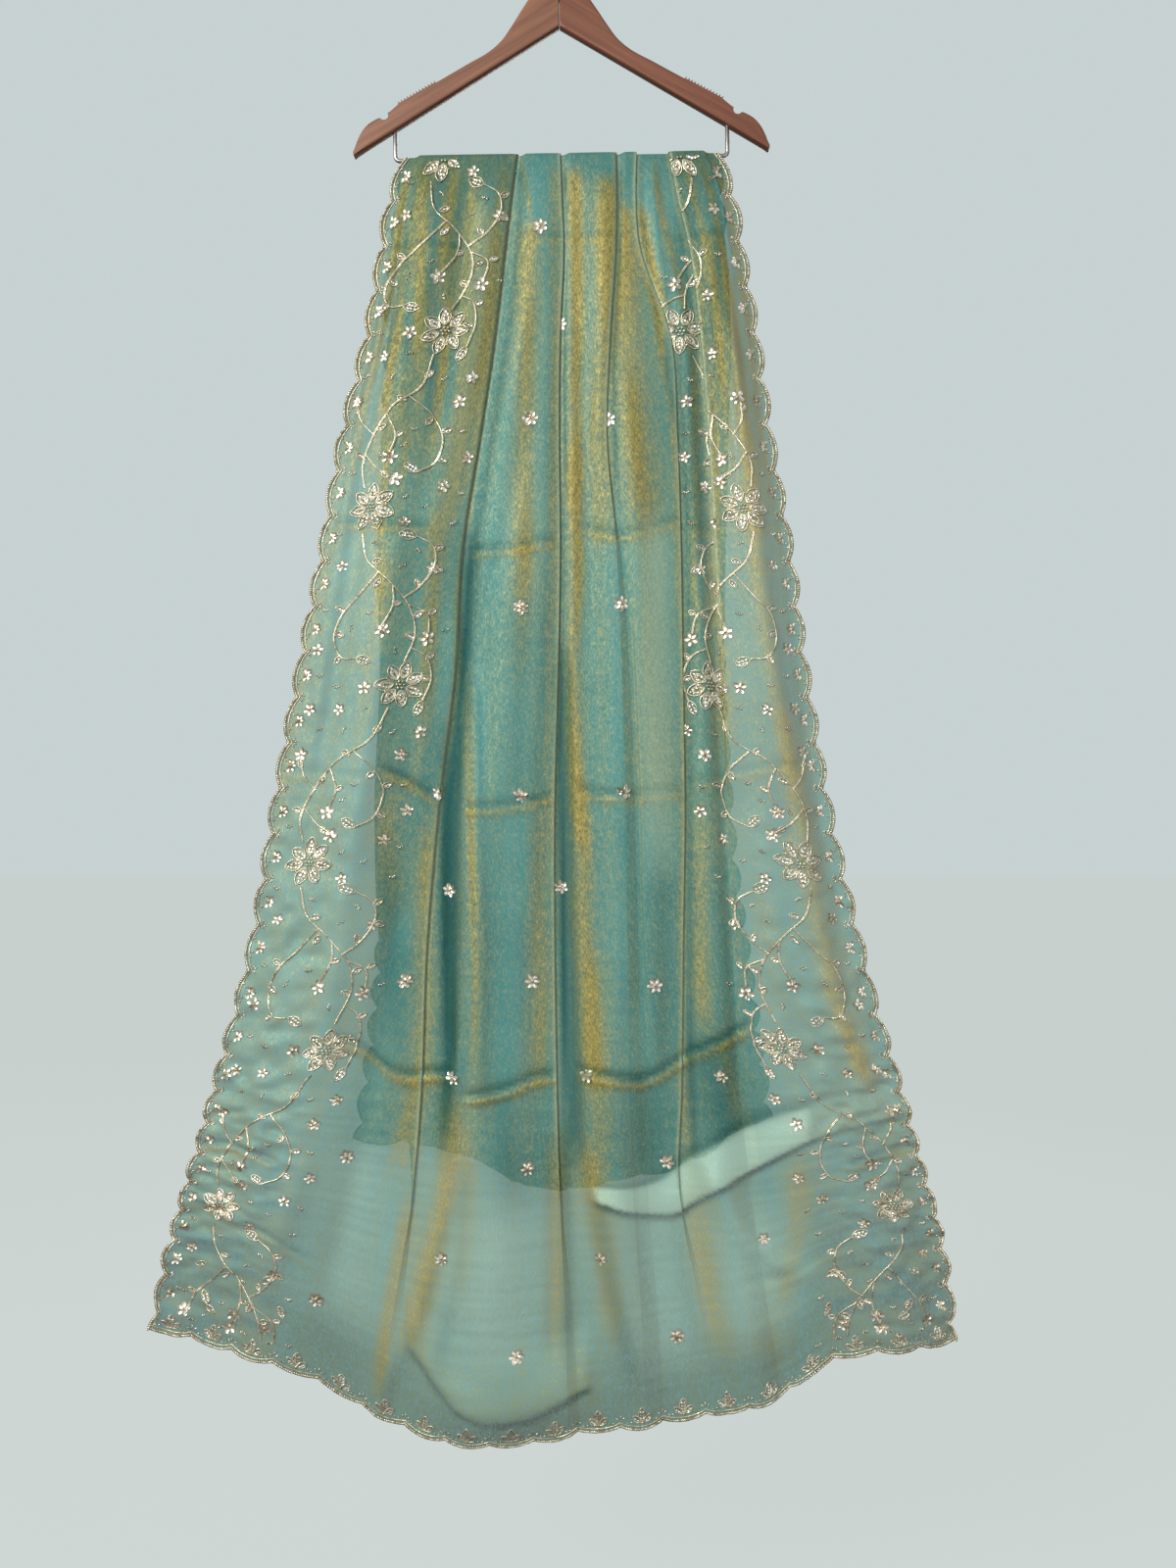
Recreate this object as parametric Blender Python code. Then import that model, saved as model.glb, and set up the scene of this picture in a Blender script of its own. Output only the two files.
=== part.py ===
# Dupatta stole folded once over the trouser bar of a wooden hanger.
# Metres, +Z up. +X is to the right as seen from the front, and the front faces -Y.
# The origin is the inside top of the hook, where a rail holds the hanger.

from math import cos, pi, radians, sin, tan

import bmesh
import bpy
import numpy as np
from mathutils import Vector

MM = 0.001

# The hanger tips a little, its right end higher
LEAN = radians(0.95)

# Wooden arms, in millimetres across (x) and up (z) from the inside top of the hook
SEAM_GAP = 0.3
ARM_THICKNESS = 12.0
ARM_EDGE_ROUND = 1.8
NECK_TO_TEETH = (
    # across, up
    (8.0, -64.0),
    (18.0, -66.5),
    (26.0, -73.5),
    (32.0, -85.5),
    (41.5, -100.0),
    (52.5, -117.0),
    (62.0, -130.0),
    (75.0, -141.3),
)
TEETH_START = (132.0, -173.5)
TEETH_END = (175.0, -197.2)
TEETH = 13
TOOTH_DEPTH = 1.7
NOTCH_TO_TIP = (
    # across, up
    (182.5, -203.3),
    (184.0, -206.8),
    (188.0, -209.4),
    (193.0, -209.6),
    (199.0, -211.0),
    (207.0, -216.0),
    (215.0, -227.0),
    (222.0, -243.5),
    (223.2, -248.2),
    (221.5, -250.4),
    (218.0, -248.1),
)
NECK_TOP = -64.0
UNDERSIDE_PEAK = -116.0

# Hook
HOOK_WIRE = 3.6
HOOK_INSIDE = 18.0
HOOK_TURN_START = -50.0
HOOK_TURN_END = 205.0
HOOK_TURN_STEPS = 18
SHANK_BEND = -46.0
SHANK_END = -88.0
SHANK_HOLE = 4.3
SHANK_HOLE_END = -89.0

# Trouser bar: one bent rod, its ends let into the arms
BAR_ROD = 4.5
BAR_HEIGHT = -255.2
BAR_HALF_WIDTH = 177.5
BAR_BEND = 5.0
BAR_BEND_STEPS = 4
POST_END = -212.0
POST_HOLE = 5.2
POST_HOLE_END = -211.0

# Cloth
WALL = 1.0
CUT_WIDTH = 900.0
BAR_CLEARANCE = 0.3
WRAP = BAR_ROD / 2 + BAR_CLEARANCE + WALL / 2
CREST_ANGLE = 0.06
LAYER_STEP_TOP = 1.8
LAYER_STEP_HEM = 3.2
LAYER_STEP_FULL_DROP = 1380.0
SHORT_LAP = 3.0
TURN_ROOM = 0.8
RISE_ROOM = 6.0
SOFT_LAP = 6.0
EDGE_BAND = 15.0
LEAN_FADE = 350.0

# Scalloped edges
SCALLOPS_ACROSS = 19
SIDE_SCALLOP_DEPTH = 8.5
HEM_SCALLOP_DEPTH = 6.0
SCALLOP_PHASES = (0.0, 0.13, 0.36, 0.64, 0.87)
SCALLOP_BAND = 10.5
COLUMN_ROOM = 2.0
HEM_BAND = 24.0

# Where each fold's outer edge lies across the fall, and how far its lap reaches under it.
# A lap under nought is a soft step. All in millimetres, by drop below the bar.
FOLD_COLUMNS = (
    "drop", "left", "a", "b", "e", "f", "h", "right", "lap_a", "lap_b", "lap_e", "lap_f", "lap_h",
)
FRONT_FOLDS = (
    (0, -171, -45, 0, 60, 81, 113, 171, 104, 36, 50, 12, 36),
    (50, -190, -51, 2, 61, 80, 122, 189, 115, 42, 48, 12, 46),
    (100, -198, -57, 4, 60, 84, 134, 197, 116, 44, 42, 15, 42),
    (200, -216, -69, 0, 53, 118, 147, 214, 110, 42, 26, 36, 34),
    (300, -240, -84, -1, 49, 125, 155, 228, 102, 40, 10, 46, 24),
    (420, -261, -103, 0, 58, 129, 162, 249, 94, 38, -4, 50, 14),
    (550, -286, -111, -2, 64, 131, 170, 266, 82, 38, -8, 50, 4),
    (700, -313, -129, -6, 68, 133, 180, 291, 70, 36, -10, 46, -5),
    (850, -338, -142, -6, 70, 131, 191, 325, 52, 30, -12, 41, -8),
    (1000, -374, -148, -4, 72, 129, 200, 363, 34, 24, -14, 34, -10),
    (1120, -396, -158, -1, 76, 126, 212, 386, 18, 18, -16, 26, -12),
    (1250, -420, -178, 4, 84, 146, 230, 410, 9, 10, -18, 11, -14),
    (1380, -441, -196, 8, 90, 165, 250, 424, 5, 5, -20, 5, -16),
)
BACK_FOLDS = (
    (0, -171, -45, 0, 60, 81, 113, 171, 104, 36, 50, 12, 36),
    (60, -182, -50, 2, 58, 84, 118, 177, 112, 42, 46, 16, 44),
    (150, -190, -56, 4, 56, 88, 122, 174, 114, 50, 42, 22, 38),
    (300, -194, -60, 4, 54, 94, 124, 172, 112, 54, 40, 30, 34),
    (450, -194, -62, 2, 53, 98, 126, 174, 108, 54, 42, 34, 34),
    (600, -194, -62, 0, 52, 100, 129, 179, 106, 53, 42, 36, 36),
    (750, -196, -60, 0, 53, 103, 134, 190, 106, 50, 42, 36, 40),
    (900, -203, -56, 2, 55, 107, 141, 206, 104, 48, 40, 34, 46),
    (1010, -213, -53, 4, 57, 110, 147, 218, 100, 45, 38, 32, 50),
    (1110, -226, -50, 6, 60, 114, 151, 228, 96, 42, 36, 30, 54),
)

# How far each panel swells outwards between its folds, by drop
SWELL_COLUMNS = ("drop", "left_to_a", "a_to_b", "b_to_f", "f_to_h", "h_to_right")
FRONT_SWELLS = (
    (0, 0, 0, 0, 0, 0),
    (50, 3, 2, 3, 1, 3),
    (100, 5, 3, 4, 2, 5),
    (200, 8, 5, 6, 3, 7),
    (420, 12, 8, 10, 5, 11),
    (700, 15, 12, 13, 7, 13),
    (1000, 17, 15, 15, 11, 15),
    (1250, 18, 20, 16, 14, 16),
    (1380, 14, 12, 12, 10, 14),
)
BACK_SWELLS = (
    (0, 0, 0, 0, 0, 0),
    (60, 3, 2, 3, 1, 3),
    (150, 6, 4, 5, 3, 6),
    (300, 9, 7, 8, 4, 9),
    (600, 13, 11, 12, 6, 12),
    (900, 17, 15, 15, 9, 16),
    (1110, 19, 16, 16, 10, 18),
)

# Drop of the hem below the bar, by place across the fall
HEM_COLUMNS = ("across", "drop")
FRONT_HEM = (
    (-441, 1254),
    (-374, 1272),
    (-278, 1302),
    (-192, 1360),
    (-103, 1384),
    (-23, 1384),
    (38, 1370),
    (159, 1357),
    (239, 1332),
    (296, 1290),
    (424, 1271),
)
BACK_HEM = (
    (-226, 1058),
    (-130, 1073),
    (-72, 1088),
    (-40, 1110),
    (35, 1108),
    (133, 1085),
    (189, 1053),
    (228, 1034),
)

# Rows of the front below the bend over the bar, and of the back
FRONT_ROWS = (
    25, 60, 105, 155, 210, 265, 325, 385, 450, 520, 590, 660, 730, 800, 870, 940, 1010, 1080, 1145,
    1205, 1260, 1310,
)
BACK_ROWS = (25, 65, 115, 175, 245, 320, 395, 470, 545, 620, 695, 770, 840, 905, 965, 1025)
BEND_STEPS = 3

FALLS = {
    "front_fall": {
        "side": -1,
        "folds": FRONT_FOLDS,
        "swells": FRONT_SWELLS,
        "hem": FRONT_HEM,
        "length": 1380.0,
        "hem_shape_from": 900.0,
        "rows": FRONT_ROWS,
        "flute": {"height": 8.0, "width": 165.0, "offset": 30.0, "from": 700.0},
        "billow": {"height": 22.0, "across": -55.0, "half_width": 75.0, "drop": 1340.0, "half_drop": 38.0},
        "scallops_down": 28,
    },
    "back_fall": {
        "side": 1,
        "folds": BACK_FOLDS,
        "swells": BACK_SWELLS,
        "hem": BACK_HEM,
        "length": 1110.0,
        "hem_shape_from": 700.0,
        "rows": BACK_ROWS,
        "flute": {"height": 7.0, "width": 118.0, "offset": -20.0, "from": 500.0},
        "billow": {"height": 0.0, "across": 0.0, "half_width": 75.0, "drop": 900.0, "half_drop": 50.0},
        "scallops_down": 23,
    },
}

# Interior points of each panel's rise, left to right
RISE_POINTS = {"a": 5, "b": 3, "e": 2, "f": 1, "h": 1, "right": 5}


def clear_scene():
    for item in list(bpy.data.objects):
        bpy.data.objects.remove(item, do_unlink=True)


def material(name, colour, roughness, metallic=0.0):
    made = bpy.data.materials.new(name)
    made.use_nodes = True
    shader = made.node_tree.nodes["Principled BSDF"]
    shader.inputs["Base Color"].default_value = (*colour, 1.0)
    shader.inputs["Roughness"].default_value = roughness
    shader.inputs["Metallic"].default_value = metallic
    return made


def add_mesh(name, points, faces, finish):
    mesh = bpy.data.meshes.new(name)
    mesh.from_pydata([tuple(point) for point in points], [], faces)
    mesh.materials.append(finish)
    made = bpy.data.objects.new(name, mesh)
    bpy.context.scene.collection.objects.link(made)
    return made


def smooth(amount):
    t = np.clip(amount, 0.0, 1.0)
    return t * t * (3.0 - 2.0 * t)


def through_rows(at, knots, values):
    # A cubic through the rows, whose slope at a row is the mean of the slopes beside it
    slopes = np.diff(values) / np.diff(knots)
    tangents = np.concatenate(([slopes[0]], (slopes[1:] + slopes[:-1]) / 2, [slopes[-1]]))
    at = np.clip(at, knots[0], knots[-1])
    cell = np.clip(np.searchsorted(knots, at) - 1, 0, len(knots) - 2)
    width = knots[cell + 1] - knots[cell]
    t = (at - knots[cell]) / width
    start = values[cell] * (1 + 2 * t) * (1 - t) ** 2 + tangents[cell] * width * t * (1 - t) ** 2
    end = values[cell + 1] * t * t * (3 - 2 * t) - tangents[cell + 1] * width * t * t * (1 - t)
    return start + end


def table_row(columns, rows, drop):
    table = np.array(rows, float)
    return {
        name: float(through_rows(np.float64(drop), table[:, 0], table[:, place]))
        for place, name in enumerate(columns)
        if place > 0
    }


def swell(fall, folds, x, drop):
    # Each panel swells as a raised sine between its folds; flutes and the billow add to it
    heights = table_row(SWELL_COLUMNS, fall["swells"], drop)
    out = np.zeros_like(x)
    bounds = ("left", "a", "b", "f", "h", "right")
    for start, end in zip(bounds, bounds[1:]):
        across = np.clip((x - folds[start]) / (folds[end] - folds[start]), 0.0, 1.0)
        out += heights[f"{start}_to_{end}"] * np.sin(pi * across) ** 2
    flute = fall["flute"]
    rise = smooth((drop - flute["from"]) / (fall["length"] - flute["from"]))
    out += flute["height"] * rise * (0.5 + 0.5 * np.cos(2 * pi * (x - flute["offset"]) / flute["width"]))
    billow = fall["billow"]
    out += billow["height"] * np.exp(
        -(((x - billow["across"]) / billow["half_width"]) ** 2)
        - ((drop - billow["drop"]) / billow["half_drop"]) ** 2
    )
    return out


def lap_reach(folds, name, other):
    # A lap stops short of the fold or the edge that it runs towards
    room = abs(folds[name] - folds[other]) - RISE_ROOM
    if other in ("left", "right"):
        room -= EDGE_BAND
    return min(folds[f"lap_{name}"], room)


def section(fall, drop):
    # Centre line of the cloth across the fall: x, and the layer it lies on, 0 to 2
    folds = table_row(FOLD_COLUMNS, fall["folds"], drop)
    line = [(folds["left"], 0.0), (folds["left"] + EDGE_BAND, 0.0)]

    def slope_to(x_end, level_end, count):
        x_start, level_start = line[-1]
        for step in range(1, count + 1):
            t = step / (count + 1)
            level = level_start + (level_end - level_start) * float(smooth(t))
            line.append((x_start + (x_end - x_start) * t, level))
        line.append((x_end, level_end))

    before = "left"
    for name in ("a", "b", "e", "f"):
        edge = folds[name]
        lap = lap_reach(folds, name, before)
        reach = max(lap, SHORT_LAP)
        tilt = 0.5 * (1.0 - min(max(lap / SOFT_LAP, 0.0), 1.0))
        slope_to(edge - reach - TURN_ROOM, 2.0, RISE_POINTS[name])
        line += [
            (edge - reach / 2, 2.0),
            (edge, 2.0),
            (edge, 1.0 + tilt),
            (edge - lap / 2, 1.0),
            (edge - lap, 1.0 - tilt),
            (edge - lap, 0.0),
            (edge - lap + reach / 2, 0.0),
            (edge - lap + reach + TURN_ROOM, 0.0),
        ]
        before = name

    edge = folds["h"]
    lap = lap_reach(folds, "h", "right")
    reach = max(lap, SHORT_LAP)
    tilt = 0.5 * (1.0 - min(max(lap / SOFT_LAP, 0.0), 1.0))
    slope_to(edge + lap - reach - TURN_ROOM, 0.0, RISE_POINTS["h"])
    line += [
        (edge + lap - reach / 2, 0.0),
        (edge + lap, 0.0),
        (edge + lap, 1.0 - tilt),
        (edge + lap / 2, 1.0),
        (edge, 1.0 + tilt),
        (edge, 2.0),
        (edge + reach / 2, 2.0),
        (edge + reach + TURN_ROOM, 2.0),
    ]
    slope_to(folds["right"] - EDGE_BAND, 0.0, RISE_POINTS["right"])
    line.append((folds["right"], 0.0))

    x, level = np.array(line).T
    step = LAYER_STEP_TOP + (LAYER_STEP_HEM - LAYER_STEP_TOP) * drop / LAYER_STEP_FULL_DROP
    return x, swell(fall, folds, x, drop) + level * step


def wall_section(fall, drop):
    # Both faces of the wall, mitred at each corner, and the place of each point on the cut cloth
    x, out = section(fall, drop)
    run = np.stack((x, out), axis=1)
    leg = np.diff(run, axis=0)
    length = np.linalg.norm(leg, axis=1)
    side = np.stack((-leg[:, 1], leg[:, 0]), axis=1) / length[:, None]
    before = np.vstack((side[:1], side))
    after = np.vstack((side, side[-1:]))
    mitre = before + after
    mitre /= np.maximum((mitre * before).sum(axis=1), 0.6)[:, None]
    faces = (run + mitre * WALL / 2, run - mitre * WALL / 2)
    along = np.concatenate(([0.0], np.cumsum(length)))
    return along * CUT_WIDTH / along[-1], faces


def hem_drop(fall, x, drop):
    # The rows near the hem follow its shape
    hem = dict(zip(HEM_COLUMNS, np.array(fall["hem"], float).T))
    shape = through_rows(x, hem["across"], hem["drop"]) - fall["length"]
    start = fall["hem_shape_from"]
    return shape * smooth((drop - start) / (fall["length"] - start))


def placed(fall, run, drop):
    # A point of a section, set round the bar or below it
    x, out = run[..., 0], run[..., 1]
    bend = WRAP * pi / 2
    angle = min(drop / WRAP, pi / 2)
    radius = WRAP + out
    lean = x * tan(LEAN) * (1.0 - float(smooth(drop / LEAN_FADE)))
    z = BAR_HEIGHT + radius * cos(angle) - max(drop - bend, 0.0) - hem_drop(fall, x, drop) + lean
    y = fall["side"] * radius * sin(angle)
    shift = -BAR_HEIGHT * sin(LEAN)
    return np.stack((x + shift, y, z), axis=-1) * MM


def read_at(fall, drop, where, by_column=False):
    # Both faces at a place on the cut cloth, or at a column of the section, which keeps to a fold
    along, faces = wall_section(fall, drop)
    if by_column:
        along = np.arange(len(along))
    points = []
    for face in faces:
        x = np.interp(where, along, face[:, 0])
        out = np.interp(where, along, face[:, 1])
        points.append(placed(fall, np.array((x, out)), drop))
    return points


def scallop(phase):
    # Nought at the crest of a scallop and one at the cusp, rounded between
    return 1.0 - abs(sin(pi * phase)) ** 0.7


def bend_rows():
    # Rows that follow the cloth round the bar, from the crest to where it starts to hang
    quarter = WRAP * pi / 2
    first = CREST_ANGLE * WRAP
    return [first + (quarter - first) * step / BEND_STEPS for step in range(BEND_STEPS + 1)]


def side_outline(fall):
    # Down one side, as (across, drop): the scallops, and the band line that has a point at each cusp
    pitch = fall["length"] / (fall["scallops_down"] + 0.5)
    bend = bend_rows()
    edge = [(SIDE_SCALLOP_DEPTH * scallop(drop / pitch), drop) for drop in bend]
    for number in range(fall["scallops_down"] + 1):
        for phase in SCALLOP_PHASES:
            drop = (number + phase) * pitch
            if drop > bend[-1] and (phase < 0.5 or number < fall["scallops_down"]):
                edge.append((SIDE_SCALLOP_DEPTH * scallop(phase), drop))
    corner = 0.3 * HEM_SCALLOP_DEPTH
    edge.append((corner, fall["length"] - corner))
    cusps = [number * pitch for number in range(1, fall["scallops_down"])]
    band = [(SCALLOP_BAND, drop) for drop in bend + cusps + [fall["length"] - HEM_BAND]]
    return edge, band


def hem_outline(fall, places):
    # Along the hem, as (column, drop): each column of the last row, with the scallops between them
    pitch = CUT_WIDTH / SCALLOPS_ACROSS
    columns = list(range(1, len(places) - 1))
    for number in range(SCALLOPS_ACROSS):
        for phase in SCALLOP_PHASES:
            across = (number + phase) * pitch
            nearest = np.abs(places - across).min()
            if nearest > COLUMN_ROOM and 0.4 * pitch < across < CUT_WIDTH - 0.4 * pitch:
                columns.append(float(np.interp(across, places, np.arange(len(places)))))
    hem = []
    for column in sorted(columns):
        across = float(np.interp(column, np.arange(len(places)), places))
        hem.append((column, fall["length"] - HEM_SCALLOP_DEPTH * scallop(across / pitch)))
    return hem


def zip_faces(inner, inner_place, outer, outer_place):
    # Triangles between two runs of points, each step along the run that gives the shorter crossing
    faces = []
    i = j = 0
    while i < len(inner) - 1 or j < len(outer) - 1:
        if i == len(inner) - 1:
            step_outer = True
        elif j == len(outer) - 1:
            step_outer = False
        else:
            step_outer = outer_place[j + 1] - inner_place[i] <= inner_place[i + 1] - outer_place[j]
        if step_outer:
            faces.append((inner[i], outer[j], outer[j + 1]))
            j += 1
        else:
            faces.append((inner[i], outer[j], inner[i + 1]))
            i += 1
    return faces


def cloth_fall(name, finish):
    fall = FALLS[name]
    length = fall["length"]
    drops = bend_rows() + list(fall["rows"]) + [length - HEM_BAND]
    face_points = ([], [])

    def add_points(found):
        for points, point in zip(face_points, found):
            points.append(point)

    # Rows of the grid, which stops short of both sides and the hem
    leftward = []
    for drop in drops:
        places, faces = wall_section(fall, drop)
        x = faces[0][:, 0] + faces[1][:, 0]
        leftward.append(x[2:-1] < x[1:-2])
        for points, face in zip(face_points, faces):
            points.extend(placed(fall, face[1:-1], drop))
    columns = len(places) - 2
    last = len(drops) - 1

    triangles = []
    for row in range(last):
        for column in range(columns - 1):
            a = row * columns + column
            b, c, d = a + 1, a + columns + 1, a + columns
            if leftward[row][column]:
                triangles += [(a, b, d), (b, c, d)]
            else:
                triangles += [(a, b, c), (a, c, d)]

    # The scalloped outline, the band line inside each side, and the strips between them
    edge, band = side_outline(fall)
    hem = hem_outline(fall, places)
    first = len(face_points[0])
    for across, drop in edge:
        add_points(read_at(fall, drop, across))
    for column, drop in hem:
        add_points(read_at(fall, drop, column, by_column=True))
    for across, drop in reversed(edge):
        add_points(read_at(fall, drop, CUT_WIDTH - across))
    outline = list(range(first, len(face_points[0])))
    outline_place = [drop / length for _, drop in edge]
    outline_place += [1.0 + column / (columns + 1) for column, _ in hem]
    outline_place += [3.0 - drop / length for _, drop in reversed(edge)]

    sides = []
    for hand, row_end in ((0, 0), (1, columns - 1)):
        start = len(face_points[0])
        for across, drop in band:
            add_points(read_at(fall, drop, CUT_WIDTH - across if hand else across))
        line = list(range(start, len(face_points[0])))
        inside = [row * columns + row_end for row in range(last + 1)]
        triangles += zip_faces(inside, drops, line, [drop for _, drop in band])
        sides.append(line)

    bottom = [last * columns + column for column in range(columns)]
    middle = sides[0] + bottom + sides[1][::-1]
    middle_place = [drop / length for _, drop in band]
    middle_place += [1.0 + (column + 1) / (columns + 1) for column in range(columns)]
    middle_place += [3.0 - drop / length for _, drop in reversed(band)]
    triangles += zip_faces(middle, middle_place, outline, outline_place)

    total = len(face_points[0])
    crest = [sides[0][0], *range(columns), sides[1][0]]
    loop = outline + crest[::-1]
    faces = triangles + [tuple(total + corner for corner in reversed(face)) for face in triangles]
    for a, b in zip(loop, loop[1:] + loop[:1]):
        faces += [(a, b, total + b), (a, total + b, total + a)]
    made = add_mesh(name, face_points[0] + face_points[1], faces, finish)
    turn_outwards(made)
    return made


def turn_outwards(thing):
    shape = bmesh.new()
    shape.from_mesh(thing.data)
    bmesh.ops.recalc_face_normals(shape, faces=shape.faces)
    shape.to_mesh(thing.data)
    shape.free()


def teeth():
    # Rounded grip teeth cut in the top edge: each rises from its valley to a crest
    start = Vector(TEETH_START)
    end = Vector(TEETH_END)
    along = (end - start) / TEETH
    up = Vector((-along.y, along.x)).normalized()
    points = []
    for number in range(TEETH):
        points.append(start + along * number)
        points.append(start + along * (number + 0.35) + up * TOOTH_DEPTH)
        points.append(start + along * (number + 0.65) + up * TOOTH_DEPTH)
    points.append(end)
    return [tuple(point) for point in points]


def arm(name, hand, finish, holder):
    half_gap = SEAM_GAP / 2
    tooth_points = teeth()
    outline = [(half_gap, NECK_TOP), *NECK_TO_TEETH, *tooth_points, *NOTCH_TO_TIP]
    outline.append((half_gap, UNDERSIDE_PEAK))
    first_tooth = 1 + len(NECK_TO_TEETH)
    plain = set(range(first_tooth, first_tooth + len(tooth_points) - 1))
    plain.add(len(outline) - 1)

    count = len(outline)
    half = ARM_THICKNESS / 2
    points = [(hand * x * MM, -half * MM, z * MM) for x, z in outline]
    points += [(hand * x * MM, half * MM, z * MM) for x, z in outline]
    faces = [tuple(range(count)), tuple(reversed(range(count, 2 * count)))]
    faces += [(k, (k + 1) % count, count + (k + 1) % count, count + k) for k in range(count)]
    made = add_mesh(name, points, faces, finish)
    turn_outwards(made)

    weights = made.data.attributes.new("bevel_weight_edge", "FLOAT", "EDGE")
    for edge in made.data.edges:
        a, b = sorted(edge.vertices)
        same_face = a // count == b // count
        place = a % count if (b - a) % count == 1 else b % count
        if same_face and place not in plain:
            weights.data[edge.index].value = 1.0
    bevel = made.modifiers.new("edge_round", "BEVEL")
    bevel.limit_method = "WEIGHT"
    bevel.width = ARM_EDGE_ROUND * MM
    bevel.segments = 2
    made.parent = holder
    return made


def cutter(name, radius, low, high, across, holder):
    bpy.ops.mesh.primitive_cylinder_add(
        vertices=16, radius=radius * MM, depth=(high - low) * MM, location=(0, 0, 0)
    )
    made = bpy.context.active_object
    made.name = name
    made.location = (across * MM, 0.0, (low + high) / 2 * MM)
    made.hide_render = True
    made.display_type = "WIRE"
    made.parent = holder
    return made


def cut(body, tool):
    modifier = body.modifiers.new(tool.name, "BOOLEAN")
    modifier.operation = "DIFFERENCE"
    modifier.solver = "EXACT"
    modifier.object = tool


def rod(name, route, diameter, finish, holder):
    curve = bpy.data.curves.new(name, "CURVE")
    curve.dimensions = "3D"
    curve.bevel_depth = diameter / 2 * MM
    curve.bevel_resolution = 2
    curve.use_fill_caps = True
    spline = curve.splines.new("POLY")
    spline.points.add(len(route) - 1)
    for point, (x, z) in zip(spline.points, route):
        point.co = (x * MM, 0.0, z * MM, 1.0)
    curve.materials.append(finish)
    made = bpy.data.objects.new(name, curve)
    bpy.context.scene.collection.objects.link(made)
    made.parent = holder
    return made


def arc(centre, radius, start, end, steps):
    turn = np.radians(np.linspace(start, end, steps + 1))
    return [(centre[0] + radius * cos(a), centre[1] + radius * sin(a)) for a in turn]


def hook_route():
    radius = HOOK_INSIDE + HOOK_WIRE / 2
    turn = arc((0.0, -HOOK_INSIDE), radius, HOOK_TURN_START, HOOK_TURN_END, HOOK_TURN_STEPS)
    start = Vector(turn[0])
    bend = Vector((0.0, SHANK_BEND))
    entry = Vector((0.0, SHANK_BEND - 6.0))
    swing = [
        tuple(entry * (1 - t) ** 2 + bend * 2 * t * (1 - t) + start * t * t)
        for t in (0.0, 0.25, 0.5, 0.75)
    ]
    return [(0.0, SHANK_END), *swing, *turn]


def bar_route():
    right = arc(
        (BAR_HALF_WIDTH - BAR_BEND, BAR_HEIGHT + BAR_BEND), BAR_BEND, -90.0, 0.0, BAR_BEND_STEPS
    )
    left = [(-x, z) for x, z in reversed(right)]
    return [(-BAR_HALF_WIDTH, POST_END), *left, *right, (BAR_HALF_WIDTH, POST_END)]


def build_hanger():
    holder = bpy.data.objects.new("hanger_place", None)
    bpy.context.scene.collection.objects.link(holder)
    holder.rotation_euler.y = -LEAN

    left_wood = material("left_wood", (0.36, 0.15, 0.075), 0.45)
    right_wood = material("right_wood", (0.31, 0.11, 0.055), 0.45)
    steel = material("bright_steel", (0.72, 0.72, 0.74), 0.22, 1.0)

    left = arm("hanger_arm_left", -1, left_wood, holder)
    right = arm("hanger_arm_right", 1, right_wood, holder)
    shank_hole = cutter("shank_hole", SHANK_HOLE / 2, SHANK_HOLE_END, NECK_TOP + 5, 0.0, holder)
    for body, hand in ((left, -1), (right, 1)):
        post_hole = cutter(
            f"post_hole_{body.name}", POST_HOLE / 2, BAR_HEIGHT, POST_HOLE_END, hand * BAR_HALF_WIDTH, holder
        )
        cut(body, post_hole)
        cut(body, shank_hole)
    rod("hanger_hook", hook_route(), HOOK_WIRE, steel, holder)
    rod("trouser_bar", bar_route(), BAR_ROD, steel, holder)


def build_cloth():
    front = material("front_tissue", (0.16, 0.42, 0.38), 0.5, 0.2)
    back = material("back_tissue", (0.11, 0.33, 0.31), 0.5, 0.2)
    cloth_fall("front_fall", front)
    cloth_fall("back_fall", back)


clear_scene()
build_hanger()
build_cloth()
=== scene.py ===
from math import cos, pi, radians, sin, tan

import bmesh
import bpy
import numpy as np
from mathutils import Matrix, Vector


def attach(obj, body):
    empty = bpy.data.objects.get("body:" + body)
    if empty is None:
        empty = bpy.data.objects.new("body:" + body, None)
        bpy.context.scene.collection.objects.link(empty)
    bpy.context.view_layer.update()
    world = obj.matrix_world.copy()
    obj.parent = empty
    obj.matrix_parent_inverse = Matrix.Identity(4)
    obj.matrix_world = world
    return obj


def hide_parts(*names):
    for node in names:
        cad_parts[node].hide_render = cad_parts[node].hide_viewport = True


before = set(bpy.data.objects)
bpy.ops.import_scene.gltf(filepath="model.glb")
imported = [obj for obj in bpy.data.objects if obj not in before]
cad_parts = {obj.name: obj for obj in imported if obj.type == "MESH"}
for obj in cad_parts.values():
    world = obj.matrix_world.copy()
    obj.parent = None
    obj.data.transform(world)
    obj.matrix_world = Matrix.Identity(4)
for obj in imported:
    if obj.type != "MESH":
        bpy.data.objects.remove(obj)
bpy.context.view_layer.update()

mm = 0.001
lean = radians(0.95)  # the hanger tips, its right end higher

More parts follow.
